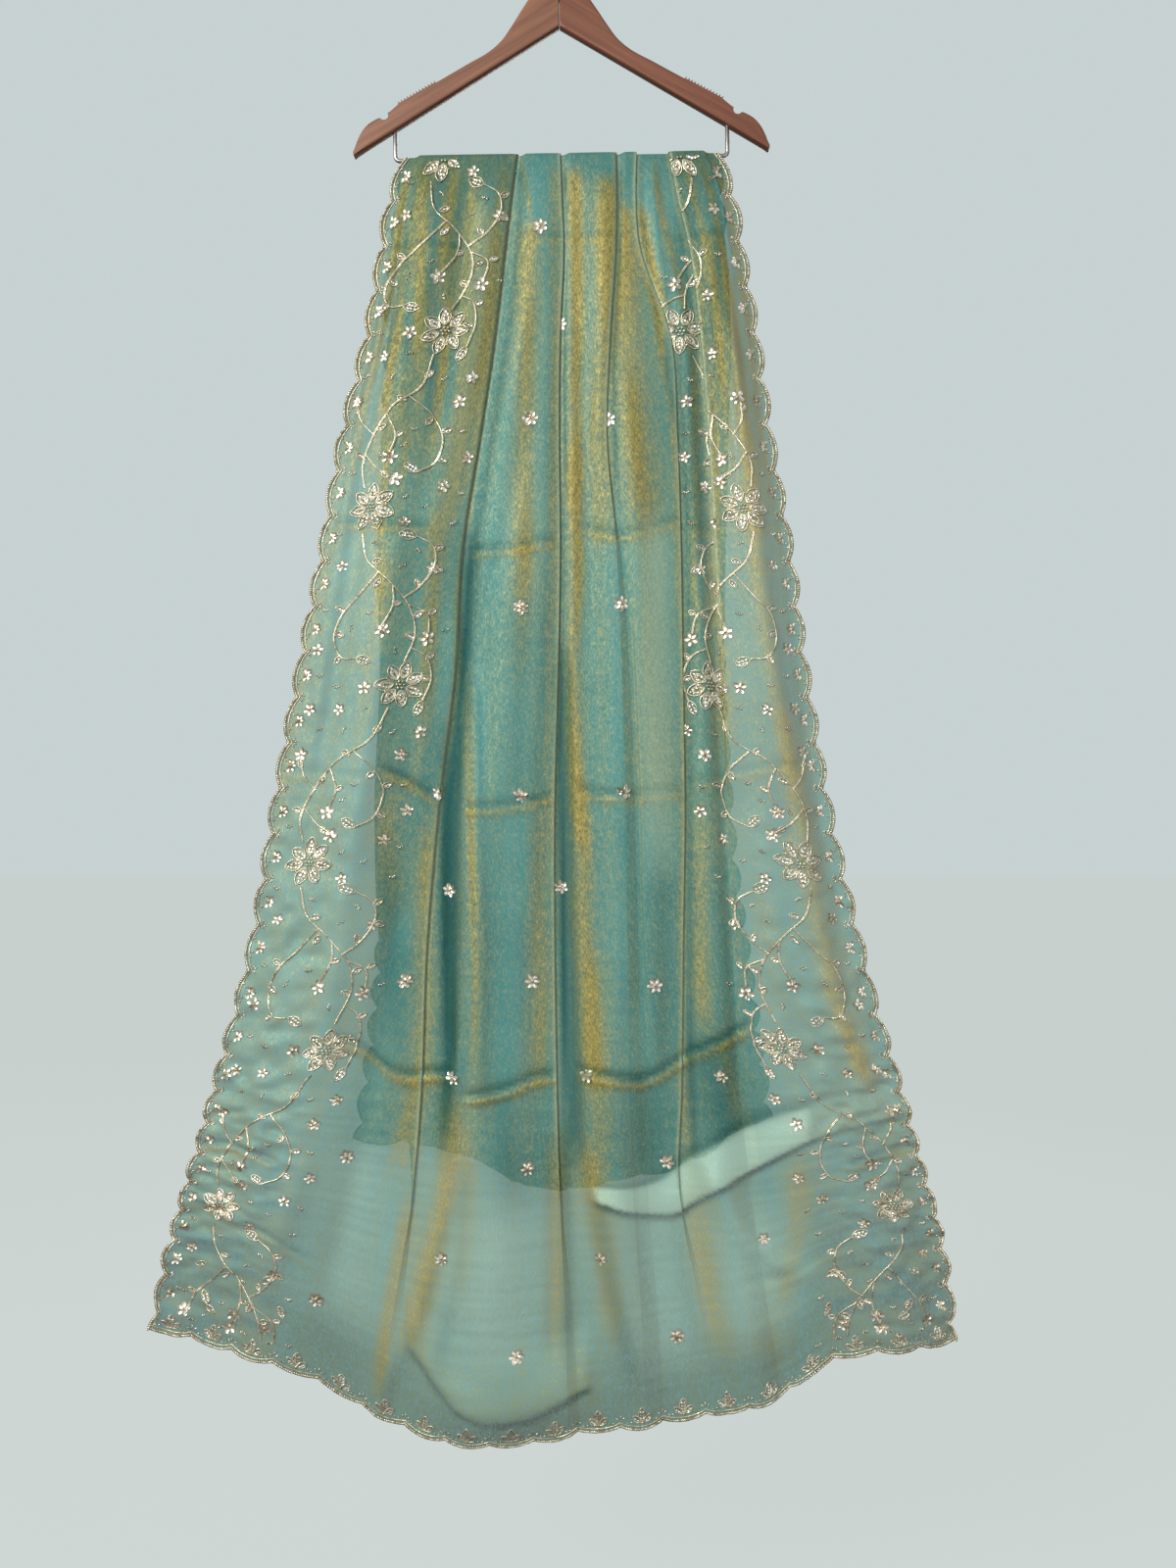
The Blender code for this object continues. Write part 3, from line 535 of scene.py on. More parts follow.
# Gathers that fan down from the bar: the height, fade and phase of each panel's waves, a few over its width
def gatherWaves(fall, folds, x, down):
    for start, end, count, height, until in fall["gathers"]:
        share = (x - folds[start]) / (folds[end] - folds[start])
        ends = ease(share / gathering["nearSide"]) * ease((1.0 - share) / gathering["farSide"])
        opens = ease((down - gathering["from"]) / gathering["fade"])
        fade = ends * opens * ease((until - down) / (gathering["foot"] * until))
        wander = softNoise(x, np.broadcast_to(down, x.shape), *gathering["wanderCell"], fall["seed"] + 8)
        wander = gathering["wander"] * wander
        yield height, fade, 2 * pi * count * share + wander


# How far each point lies below a crease, in half widths of it, and how strong the crease is there
def creaseLines(fall, x, down):
    for crease in fall["creases"]:
        way, ends = crease["way"], relief["creaseEnds"]
        line = throughWay(x, way)
        fade = ease((x - way[0][0] + ends / 3) / ends) * ease((way[-1][0] + ends / 3 - x) / ends)
        yield crease, (down - line) / crease["half"], fade


# The share of the way from a roll's upper line to its lower one, and how far a point lies past that
def rollPlaces(fall, x, down):
    for roll in fall["rolls"]:
        upper, ends = roll["upper"], relief["rollEnds"]
        top, foot = throughWay(x, upper), throughWay(x, roll["lower"])
        fade = ease((x - upper[0][0]) / ends + 0.5) * ease((upper[-1][0] - x) / ends + 0.5)
        yield roll, (down - top) / (foot - top), down - foot, fade


# Nought at a scallop's crest and one at its cusp
def scallop(place):
    return 1.0 - np.abs(np.sin(pi * place)) ** cloth["scallopPower"]


# The whole fall as a surface of (drop along the cut, place across the cut), in metres
class Fall:
    def __init__(self, name):
        fall = falls[name]
        self.fall, self.name, self.length = fall, name, fall["length"]
        self.pitch = self.length / (fall["scallopsDown"] + 0.5)
        self.hemPitch = cloth["cut"] / cloth["hemScallops"]
        bend = np.linspace(0.0, cloth["wrap"] * pi / 2, cloth["bendRows"])
        hang = np.linspace(bend[-1], self.length, int(self.length / cloth["fineRow"]))[1:]
        self.drop = np.concatenate((bend, hang))
        x, level, folds = sectionKnots(fall, self.drop)
        longest = np.maximum(np.hypot(np.diff(x, axis=1), np.diff(level, axis=1)).max(axis=0), 0.6)
        share = np.concatenate(([0.0], np.cumsum(np.sqrt(longest))))
        self.column = np.interp(np.linspace(0, share[-1], cloth["columns"]), share, np.arange(len(share)))
        cell = np.clip(np.floor(self.column).astype(int), 0, x.shape[1] - 2)
        part = self.column - cell
        x = x[:, cell] * (1 - part) + x[:, cell + 1] * part
        level = level[:, cell] * (1 - part) + level[:, cell + 1] * part
        for _ in range(2):
            x[:, 1:-1] = (x[:, :-2] + 2 * x[:, 1:-1] + x[:, 2:]) / 4
            level[:, 1:-1] = (level[:, :-2] + 2 * level[:, 1:-1] + level[:, 2:]) / 4
        opened = (cloth["layerHem"] - cloth["layerTop"]) * self.drop / cloth["layerFullDrop"]
        step = cloth["layerTop"] + opened
        out = standOut(fall, folds, x, self.drop) + level * step[:, None]
        run = np.hypot(np.diff(x, axis=1), np.diff(out, axis=1))
        across = np.concatenate((np.zeros((len(x), 1)), np.cumsum(run, axis=1)), axis=1)
        self.across = across * cloth["cut"] / across[:, -1:]
        drop = self.drop[:, None]
        wide = np.broadcast_to(drop, x.shape)
        fromEdge = np.minimum(self.across, cloth["cut"] - self.across)
        border = ease((puckers["border"] - fromEdge) / puckers["borderFade"])
        lowDown = ease((drop - fall["puckerFrom"]) / puckers["lowFade"])
        bumps = softNoise(self.across, wide, *puckers["bigCell"], fall["seed"])
        bumps += puckers["smallShare"] * softNoise(self.across, wide, *puckers["smallCell"], fall["seed"] + 1)
        crinkle = softNoise(self.across, wide, *puckers["crinkleCell"], fall["seed"] + 2)
        calm = ease((drop - puckers["calmFrom"]) / puckers["calmFade"])
        loose = 1.0 - puckers["layerLoss"] * np.clip(level, 0.0, 2.0)
        deep = puckers["above"] + puckers["below"] * lowDown
        out += fall["pucker"] * calm * border * loose * deep * bumps
        out += puckers["crinkle"] * calm * lowDown * crinkle
        self.point = self.place(x, np.maximum(out, puckers["deepest"] * calm), drop)
        self.fineAcross = np.linspace(0, cloth["cut"], int(cloth["cut"] / cloth["finePitch"]) + 1)
        fine = [[np.interp(self.fineAcross, self.across[row], self.point[row, :, k]) for k in range(3)]
                for row in range(len(self.drop))]
        self.fine = np.array(fine).transpose(0, 2, 1)
        alongAcross = np.gradient(self.fine, axis=1)
        alongDrop = np.gradient(self.fine, axis=0)
        self.normal = unit(np.cross(alongAcross, alongDrop) * fall["side"])

    # Round the bar on a quarter circle, then straight down, with the hem's shape eased in
    def place(self, x, out, drop):
        fall = self.fall
        shape = throughWay(x, fall["hem"]) - self.length
        shape = shape * ease((drop - fall["hemFrom"]) / (self.length - fall["hemFrom"]))
        angle = np.minimum(drop / cloth["wrap"], pi / 2)
        radius = cloth["wrap"] + out
        tip = x * tan(lean) * (1.0 - ease(drop / cloth["leanFade"]))
        bend = cloth["wrap"] * pi / 2
        z = cloth["barHeight"] + radius * np.cos(angle) - np.maximum(drop - bend, 0.0) - shape + tip
        y = fall["side"] * radius * np.sin(angle)
        shift = -cloth["barHeight"] * sin(lean)
        return np.stack((x + shift, y + 0 * z, z), axis=-1) * mm

    # Points on the cloth at (across, drop), lifted off its face, by blending the four nearest fine points
    def at(self, across, drop, lift=0.0):
        u = np.clip(across / cloth["finePitch"], 0, len(self.fineAcross) - 1.001)
        v = np.clip(np.interp(drop, self.drop, np.arange(len(self.drop))), 0, len(self.drop) - 1.001)
        i, j = u.astype(int), v.astype(int)
        fu, fv = (u - i)[..., None], (v - j)[..., None]

        def blend(field):
            low = field[j, i] * (1 - fu) + field[j, i + 1] * fu
            high = field[j + 1, i] * (1 - fu) + field[j + 1, i + 1] * fu
            return low * (1 - fv) + high * fv

        return blend(self.fine) + unit(blend(self.normal)) * (np.asarray(lift, float) * mm)[..., None]

    # How far the side is drawn in at a drop: full at a cusp, nought at a crest, less at the corner
    def sideIn(self, drop):
        nearCorner = ease(1 - (self.length - drop) / (self.pitch * cloth["cornerShare"]))
        corner = 1 - cloth["cornerLoss"] * nearCorner
        return cloth["sideScallop"] * scallop(drop / self.pitch) * corner

    # The cloth's own grid, its sides and hem drawn in to the scallops
    def surface(self):
        bend = self.drop[:cloth["bendRows"]]
        stops = (bend[-1], self.fall["fineRowsFrom"], self.length)
        shares = np.linspace(0, 1, cloth["meshRows"] - cloth["bendRows"] + 1)[1:]
        hang = np.interp(shares, (0, cloth["coarseShare"], 1), stops)
        rows = np.concatenate((bend, hang))
        rowAt = np.interp(rows, self.drop, np.arange(len(self.drop)))
        low = np.clip(rowAt.astype(int), 0, len(self.drop) - 2)
        part = (rowAt - low)[:, None]
        across = self.across[low] * (1 - part) + self.across[low + 1] * part
        drop = np.broadcast_to(rows[:, None], across.shape).copy()
        reach = cloth["scallopReach"]
        fromHem = ease(1 - (self.length - drop) / reach)
        drop -= cloth["hemScallop"] * scallop(across / self.hemPitch) * fromHem
        nearLeft, nearRight = ease(1 - across / reach), ease(1 - (cloth["cut"] - across) / reach)
        moved = across + self.sideIn(drop) * (nearLeft - nearRight)
        v = np.clip(np.interp(drop, self.drop, np.arange(len(self.drop))), 0, len(self.drop) - 1.001)
        j = v.astype(int)
        fv = (v - j)[..., None]
        columns = np.broadcast_to(np.arange(across.shape[1]), across.shape)
        folded = self.point[j, columns] * (1 - fv) + self.point[j + 1, columns] * fv
        plain = self.at(moved, drop)
        useFine = ((nearLeft + nearRight) > 0)[..., None]
        return np.where(useFine, plain, folded), moved, drop


print("cloth: working out the two falls")
front, back = Fall("front"), Fall("back")


# An object of the mesh's own name in the scene
def objectOf(mesh):
    piece = bpy.data.objects.new(mesh.name, mesh)
    bpy.context.scene.collection.objects.link(piece)
    return piece


# A mesh from whole arrays of points and of faces that all have the same number of corners
def meshFrom(name, points, faces, smooth=True):
    mesh = bpy.data.meshes.new(name)
    faces = np.asarray(faces, np.int32)
    corners = faces.shape[1]
    mesh.vertices.add(len(points))
    mesh.vertices.foreach_set("co", np.ascontiguousarray(points, np.float32).ravel())
    mesh.loops.add(faces.size)
    mesh.loops.foreach_set("vertex_index", faces.ravel())
    mesh.polygons.add(len(faces))
    mesh.polygons.foreach_set("loop_start", np.arange(0, faces.size, corners, dtype=np.int32))
    mesh.polygons.foreach_set("loop_total", np.full(len(faces), corners, np.int32))
    mesh.update(calc_edges=True)
    mesh.validate()
    if smooth:
        mesh.shade_smooth()
    else:
        mesh.shade_flat()
    return objectOf(mesh)


# Quads between the rows and columns of a grid, turned over where asked
def gridFaces(rows, columns, turned=False, closed=False):
    number = np.arange(rows * columns).reshape(rows, columns)
    right = np.roll(number, -1, axis=1) if closed else number[:, 1:]
    left = number if closed else number[:, :-1]
    quads = np.stack((left[:-1], left[1:], right[1:], right[:-1]), axis=-1).reshape(-1, 4)
    return quads[:, ::-1] if turned else quads


# One shader node group: named inputs and outputs, then its nodes made by the caller
def nodeGroup(name, inputs, outputs):
    group = bpy.data.node_groups.new(name, "ShaderNodeTree")
    for label, kind, value in inputs:
        socket = group.interface.new_socket(label, in_out="INPUT", socket_type=kind)
        if value is not None:
            socket.default_value = value
    for label, kind in outputs:
        group.interface.new_socket(label, in_out="OUTPUT", socket_type=kind)
    return group, group.nodes.new("NodeGroupInput"), group.nodes.new("NodeGroupOutput")


def addNode(tree, kind, values=None, **settings):
    node = tree.nodes.new(kind)
    for key, value in settings.items():
        setattr(node, key, value)
    for key, value in (values or {}).items():
        node.inputs[key].default_value = value
    return node


def mathNode(tree, operation, a, b=None, clamp=False):
    node = addNode(tree, "ShaderNodeMath", operation=operation, use_clamp=clamp)
    for place, value in enumerate((a, b)):
        if value is None:
            continue
        if isinstance(value, (int, float)):
            node.inputs[place].default_value = value
        else:
            tree.links.new(value, node.inputs[place])
    return node.outputs[0]


# Shot tissue: flecks of metal thread along the length over a fine weave, and slow drift in the tone
def makeTissueGroup():
    group, into, out = nodeGroup(
        "tissueThreads",
        (("Vector", "NodeSocketVector", None), ("Fleck Size", "NodeSocketFloat", 1.0)),
        (("Fleck", "NodeSocketFloat"), ("Drift", "NodeSocketFloat"), ("Streak", "NodeSocketFloat"),
         ("Height", "NodeSocketFloat")),
    )
    link = group.links.new
    stretch = addNode(group, "ShaderNodeMapping", {"Scale": (1.0, 0.42, 1.0)})
    link(into.outputs["Vector"], stretch.inputs["Vector"])
    fine = addNode(group, "ShaderNodeTexNoise", {"Scale": 620.0, "Detail": 2.0, "Roughness": 0.7})
    coarse = addNode(group, "ShaderNodeTexNoise", {"Scale": 230.0, "Detail": 3.0, "Roughness": 0.65})
    drift = addNode(group, "ShaderNodeTexNoise", {"Scale": 9.0, "Detail": 3.0, "Roughness": 0.55})
    streakMap = addNode(group, "ShaderNodeMapping", {"Scale": (1.0, 0.09, 1.0)})
    link(into.outputs["Vector"], streakMap.inputs["Vector"])
    streak = addNode(group, "ShaderNodeTexNoise", {"Scale": 42.0, "Detail": 3.0, "Roughness": 0.6})
    for texture in (fine, coarse):
        link(stretch.outputs["Vector"], texture.inputs["Vector"])
    link(into.outputs["Vector"], drift.inputs["Vector"])
    link(streakMap.outputs["Vector"], streak.inputs["Vector"])
    mixed = mathNode(group, "ADD", mathNode(group, "MULTIPLY", fine.outputs[0], 0.6),
                     mathNode(group, "MULTIPLY", coarse.outputs[0], 0.4))
    spread = mathNode(group, "MULTIPLY", mathNode(group, "SUBTRACT", mixed, 0.5), 3.2)
    sized = mathNode(group, "MULTIPLY", spread, into.outputs["Fleck Size"])
    link(mathNode(group, "ADD", sized, 0.5, clamp=True), out.inputs["Fleck"])
    link(drift.outputs[0], out.inputs["Drift"])
    link(streak.outputs[0], out.inputs["Streak"])
    warp = addNode(group, "ShaderNodeTexWave", {"Scale": 260.0, "Distortion": 1.5, "Detail": 1.0})
    link(into.outputs["Vector"], warp.inputs["Vector"])
    link(mathNode(group, "ADD", mathNode(group, "MULTIPLY", warp.outputs["Fac"], 0.3), mixed),
         out.inputs["Height"])
    return group


# Wood grain: long noise along the arm, rings drawn by a wave that the noise bends
def makeGrainGroup():
    group, into, out = nodeGroup(
        "armGrain",
        (("Vector", "NodeSocketVector", None),),
        (("Grain", "NodeSocketFloat"), ("Pore", "NodeSocketFloat")),
    )
    link = group.links.new
    long = addNode(group, "ShaderNodeMapping", {"Scale": (3.0, 40.0, 60.0)})
    link(into.outputs["Vector"], long.inputs["Vector"])
    noise = addNode(group, "ShaderNodeTexNoise",
                    {"Scale": 2.2, "Detail": 6.0, "Roughness": 0.6, "Distortion": 0.6})
    pores = addNode(group, "ShaderNodeTexNoise", {"Scale": 14.0, "Detail": 3.0, "Roughness": 0.7})
    link(long.outputs["Vector"], noise.inputs["Vector"])
    link(long.outputs["Vector"], pores.inputs["Vector"])
    link(noise.outputs[0], out.inputs["Grain"])
    link(pores.outputs[0], out.inputs["Pore"])
    return group


tissueGroup, grainGroup = makeTissueGroup(), makeGrainGroup()


def newMaterial(name, **constants):
    made = bpy.data.materials.new(name)
    made.use_nodes = True
    shader = made.node_tree.nodes["Principled BSDF"]
    for key, value in constants.items():
        shader.inputs[key].default_value = value
    return made, made.node_tree, shader


# Sheer shot tissue: teal where the cloth lies square, a painted gold sheen where it turns, flecked with metal
# thread, darkened by painted shade and lightened by painted highlights
tissue = {
    "teal": (0.036, 0.232, 0.234, 1.0),
    "tealPale": (0.135, 0.388, 0.352, 1.0),
    "gold": (0.178, 0.150, 0.038, 1.0),
    "goldPale": (0.50, 0.425, 0.125, 1.0),
    "shadeTone": (0.10, 0.34, 0.36),
    "highlightTone": (0.385, 0.585, 0.455, 1.0),
    "highlightShare": 0.75,
    "streakPush": 0.8,
    "fleckPush": 0.75,
    "goldFrom": -0.18,
    "goldTo": 1.2,
    "roughest": 0.70,
    "smoothest": 0.46,
    "alpha": 0.84,
    "borderAlpha": 0.80,
    "goldAlpha": 0.08,
    "fleckAlpha": 0.16,
}


def makeTissue(name, tone):
    made, tree, shader = newMaterial(name, **{
        "Metallic": 0.22, "Specular IOR Level": 0.35,
        "Sheen Weight": 0.10, "Sheen Roughness": 0.4, "Sheen Tint": (0.9, 0.8, 0.5, 1.0),
    })
    link = tree.links.new
    uv = addNode(tree, "ShaderNodeUVMap", uv_map="cut")
    # The turn attribute holds the gold share: mostly a painted sheen, in random patches
    turn = addNode(tree, "ShaderNodeAttribute", attribute_name="turn")
    border = addNode(tree, "ShaderNodeAttribute", attribute_name="border")
    threads = addNode(tree, "ShaderNodeGroup", node_tree=tissueGroup)
    link(uv.outputs[0], threads.inputs["Vector"])
    fleck, drift, streak = (threads.outputs[k] for k in ("Fleck", "Drift", "Streak"))
    streaks = mathNode(tree, "MULTIPLY", mathNode(tree, "SUBTRACT", streak, 0.5), tissue["streakPush"])
    flecks = mathNode(tree, "MULTIPLY", mathNode(tree, "SUBTRACT", fleck, 0.5), tissue["fleckPush"])
    total = mathNode(tree, "ADD", mathNode(tree, "ADD", turn.outputs["Fac"], streaks), flecks)
    goldRange = {"From Min": tissue["goldFrom"], "From Max": tissue["goldTo"]}
    toGold = addNode(tree, "ShaderNodeMapRange", goldRange)
    link(total, toGold.inputs["Value"])
    teals = addNode(tree, "ShaderNodeMix", {"A": tissue["teal"], "B": tissue["tealPale"]}, data_type="RGBA")
    golds = addNode(tree, "ShaderNodeMix", {"A": tissue["gold"], "B": tissue["goldPale"]}, data_type="RGBA")
    shot = addNode(tree, "ShaderNodeMix", data_type="RGBA")
    for mix in (teals, golds, shot):
        mix.clamp_factor = True
    link(drift, teals.inputs["Factor"])
    link(fleck, golds.inputs["Factor"])
    link(toGold.outputs[0], shot.inputs["Factor"])
    link(teals.outputs["Result"], shot.inputs["A"])
    link(golds.outputs["Result"], shot.inputs["B"])
    # Painted shade: the colour multiplied toward the shade tone, scaled by tone so that the back fall's
    # painted shade is darker
    shade = addNode(tree, "ShaderNodeAttribute", attribute_name="shade")
    shadeTone = (*[part * tone for part in tissue["shadeTone"]], 1.0)
    shaded = addNode(tree, "ShaderNodeMix", {"B": shadeTone}, data_type="RGBA", blend_type="MULTIPLY")
    link(shade.outputs["Fac"], shaded.inputs["Factor"])
    link(shot.outputs["Result"], shaded.inputs["A"])
    # Painted highlights: the colour lightened toward a pale tone where the cloth catches the light
    paintedHighlight = addNode(tree, "ShaderNodeAttribute", attribute_name="paintedHighlight")
    highlighted = addNode(tree, "ShaderNodeMix", {"B": tissue["highlightTone"]}, data_type="RGBA")
    link(mathNode(tree, "MULTIPLY", paintedHighlight.outputs["Fac"], tissue["highlightShare"]), highlighted.inputs["Factor"])
    link(shaded.outputs["Result"], highlighted.inputs["A"])
    link(highlighted.outputs["Result"], shader.inputs["Base Color"])
    rough = addNode(tree, "ShaderNodeMapRange", {"To Min": tissue["roughest"], "To Max": tissue["smoothest"]})
    link(fleck, rough.inputs["Value"])
    link(rough.outputs[0], shader.inputs["Roughness"])
    sheer = mathNode(tree, "MULTIPLY", border.outputs["Fac"], tissue["borderAlpha"] - tissue["alpha"])
    thick = mathNode(tree, "MULTIPLY", toGold.outputs[0], tissue["goldAlpha"])
    body = mathNode(tree, "ADD", mathNode(tree, "ADD", sheer, tissue["alpha"]), thick)
    grain = mathNode(tree, "MULTIPLY", mathNode(tree, "SUBTRACT", fleck, 0.5), tissue["fleckAlpha"])
    link(mathNode(tree, "ADD", body, grain, clamp=True), shader.inputs["Alpha"])
    bump = addNode(tree, "ShaderNodeBump", {"Strength": 0.35, "Distance": 0.0006})
    link(threads.outputs["Height"], bump.inputs["Height"])
    link(bump.outputs["Normal"], shader.inputs["Normal"])
    return made


# How strongly each place is painted with gold sheen or gold patches, painted shade or painted highlights, and
# over how many millimetres
shot = {
    "nearBar": 120.0, "shortFade": 24.0, "longFade": 70.0, "pastEnd": 40.0, "fadeOut": 80.0,
    "wander": 3.0, "turnedSheen": 0.5, "patchLeast": 0.82, "patchMore": 0.3,
    "gatherSheen": 0.5, "gatherShade": 0.24,
    "lipClosed": 12.0, "lipIn": 1.4, "lipHalf": 2.3, "lipSheen": 0.9, "lipHighlight": 0.8,
    "highDown": 70.0, "upperDown": 420.0, "upperFade": 260.0, "lowUp": 400.0, "lowFade": 340.0,
    "hemUp": 130.0, "hemFade": 90.0,
    "highShade": 0.34, "upperShade": 0.30, "lowShade": 0.46, "hemShade": 0.42, "mottleShade": 0.30,
    "upperGold": 0.32, "hemGold": 0.16, "borderGold": 0.12, "lowGold": 0.08, "mottleGold": 0.26,
    "creaseFull": 3.0, "creaseSheen": 0.75, "creaseShade": 0.7,
    "rollUneven": 0.7, "rollShade": 0.6, "rollSheen": 0.3,
}


# The sum of bells laid across the listed ways, faded at both ends of each
def bandSum(bands, x, drop):
    total = np.zeros_like(x)
    for band in bands:
        way = band["way"]
        line = throughWay(drop, way)
        start = shot["shortFade"] if way[0][0] < shot["nearBar"] else shot["longFade"]
        fadeIn = ease((drop - way[0][0] + start / 2) / start)
        fade = fadeIn * ease((way[-1][0] + shot["pastEnd"] - drop) / shot["fadeOut"])
        total += band["strength"] * fade * np.exp(-(((x - line) / band["half"]) ** 2))
    return total


# Painted gold sheen where the cloth turns from the front, on the bands, and under each crease and lip; with
# it the painted shade and painted highlights
def paintedLightOf(fall, points, drop, border):
    down, over = np.gradient(points, axis=0), np.gradient(points, axis=1)
    normal = unit(np.cross(over, down), 1e-12)
    x = points[..., 0] / mm + cloth["barHeight"] * sin(lean)
    seed, length = fall["seed"], fall["length"]
    wander = x + shot["wander"] * softNoise(x, drop, 60.0, 90.0, seed + 5)
    # Painted gold sheen where the cloth turns from the front and on the sheen bands, in random patches
    gold = shot["turnedSheen"] * np.abs(normal[..., 0]) + bandSum(fall["sheens"], wander, drop)
    gold *= shot["patchLeast"] + shot["patchMore"] * softNoise(x, drop, 24.0, 110.0, seed + 6)
    # Painted shade and painted highlights from their bands
    shade, paintedHighlight = bandSum(fall["shades"], x, drop), bandSum(fall["paintedHighlights"], x, drop)
    folds = readTable(foldColumns, fall["folds"], drop[:, 0])
    # Painted sheen on one flank of each gather and painted shade on the other
    for _, fade, phase in gatherWaves(fall, folds, x, drop):
        gold += shot["gatherSheen"] * fade * np.sin(phase + 0.5)
        shade += shot["gatherShade"] * fade * np.clip(-np.sin(phase), 0.0, 1.0)
    # A painted highlight in gold along the outer lip of each closed fold
    for name in "abefh":
        inward = 1.0 if name == "h" else -1.0
        closed = ease(folds["lap" + name.upper()] / shot["lipClosed"])
        lip = closed * np.exp(-(((x - folds[name] - inward * shot["lipIn"]) / shot["lipHalf"]) ** 2))
        gold += shot["lipSheen"] * lip
        paintedHighlight = np.maximum(paintedHighlight, shot["lipHighlight"] * lip)
    # Painted shade below the bar, on the upper borders, low on the borders and near the hem
    high = ease(1.0 - drop / shot["highDown"])
    low = ease((drop - length + shot["lowUp"]) / shot["lowFade"])
    upper = border * ease((shot["upperDown"] - drop) / shot["upperFade"])
    nearHem = (1.0 - border) * ease((drop - length + shot["hemUp"]) / shot["hemFade"])
    shade += (shot["highShade"] * high + shot["upperShade"] * upper + shot["lowShade"] * border * low
              + shot["hemShade"] * nearHem)
    # Random gold patches and a little gold over the borders, more gold with the upper and hem shade, and
    # painted shade in the patches low on the borders
    mottle = softNoise(x, drop, 17.0, 13.0, seed + 9) + 0.6 * softNoise(x, drop, 44.0, 30.0, seed + 10)
    patches = shot["mottleGold"] * mottle * (0.3 + 0.7 * low)
    gold += (shot["upperGold"] * upper + shot["hemGold"] * nearHem
             + border * (shot["borderGold"] + shot["lowGold"] * low + patches))
    shade += shot["mottleShade"] * border * low * np.clip(-mottle, 0.0, 1.0)
    # Painted sheen just below each crease and painted shade just above it
    for crease, below, fade in creaseLines(fall, x, drop):
        size = min(crease["height"] / shot["creaseFull"], 1.0)
        gold += shot["creaseSheen"] * size * fade * np.exp(-((below - 1.0) ** 2))
        shade += shot["creaseShade"] * size * fade * np.exp(-((below + 0.8) ** 2) * 1.3)
    # Each roll: painted shade under its lip and at its upper line, painted sheen and a painted highlight on
    # its slope
    for roll, share, past, fade in rollPlaces(fall, x, drop):
        uneven = roll["edge"] * (1.0 + shot["rollUneven"] * softNoise(x, drop, 28.0, 60.0, seed + 12))
        shade += uneven * fade * np.exp(-(((past - 4.0) / 6.0) ** 2))
        shade += shot["rollShade"] * roll["paintedHighlight"] * fade * np.exp(-((share * 5.0) ** 2))
        gold += shot["rollSheen"] * fade * np.clip(share, 0, 1) ** 2 * (share < 1)
        paintedHighlight = np.maximum(paintedHighlight, roll["paintedHighlight"] * fade * ease(share * 5.0) * (share < 1.02))
    return np.clip(gold, 0.0, 1.3), np.clip(shade, 0.0, 1.0), np.clip(paintedHighlight, 0.0, 1.0)


# One fall as a shell, with its place on the cut as a UV map, its painted gold sheen, painted shade, painted
# highlights and border as attributes, and depth to darken its painted shade
def buildFall(shape, name, node, depth):
    points, across, drop = shape.surface()
    rows, columns = points.shape[:2]
    piece = meshFrom(name, points.reshape(-1, 3), gridFaces(rows, columns, turned=shape.name == "back"))
    mesh = piece.data
    corner = np.empty(len(mesh.loops), np.int32)
    mesh.loops.foreach_get("vertex_index", corner)
    cut = np.stack((across.ravel(), drop.ravel() * shape.fall["side"]), axis=1) * mm
    layer = mesh.uv_layers.new(name="cut")
    layer.data.foreach_set("uv", cut[corner].astype(np.float32).ravel())
    fromEdge = np.minimum(across, cloth["cut"] - across)
    border = ease((cloth["borderTone"] - fromEdge) / cloth["borderToneFade"])
    gold, shade, paintedHighlight = paintedLightOf(shape.fall, points, drop, border)
    for label, values in (("turn", gold), ("shade", shade), ("paintedHighlight", paintedHighlight), ("border", border)):
        tone = mesh.attributes.new(label, "FLOAT", "POINT")
        tone.data.foreach_set("value", values.astype(np.float32).ravel())
    mesh.materials.append(makeTissue(name + "Tissue", depth))
    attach(piece, "root")
    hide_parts(node)
    return piece


frontCloth = buildFall(front, "frontCloth", "front_fall", 1.0)
backCloth = buildFall(back, "backCloth", "back_fall", 0.92)
print("cloth: falls made")

# Embroidery, laid out in the cut's own millimetres: across from the left edge and down from the bar.
# One repeat of the border's trail holds an outer and an inner flower, and the right border mirrors it.
stitches = {
    "repeat": 376.0,
    "start": 5.0,
    "outer": 54.0,
    "inner": 121.0,
    "flowerRadius": 26.0,
    "petals": 7,
    "largeLeaf": 14.0,
    "cord": 0.85,
    "fineCord": 0.6,
    "edgeBead": 3.0,
    "edgePitch": 2.3,
    "edgeInset": 1.6,
    "fieldRows": 200.0,
    "fieldStart": 84.0,
    "fieldColumns": (181.0, 405.0, 586.0),
    "betweenColumns": (316.0, 502.0, 701.0),
    "frontSeed": 7,
    "backSeed": 12,
    # across, up from the hem, direction and size: leaf length, flower radius or count of a spray
    "corner": ((34, 34, 0, 7.5), (52, 62, 60, 16), (70, 40, 200, 15), (92, 46, 0, 8), (112, 70, 110, 16),
               (128, 42, 0, 7.5), (146, 60, 250, 15), (44, 22, 270, 4), (80, 24, 250, 4), (106, 26, 280, 4),
               (136, 24, 260, 4), (60, 84, 30, 4), (98, 92, 120, 4), (30, 58, 80, 3), (150, 88, 90, 4),
               (122, 98, 300, 14), (38, 92, 330, 14)),
}
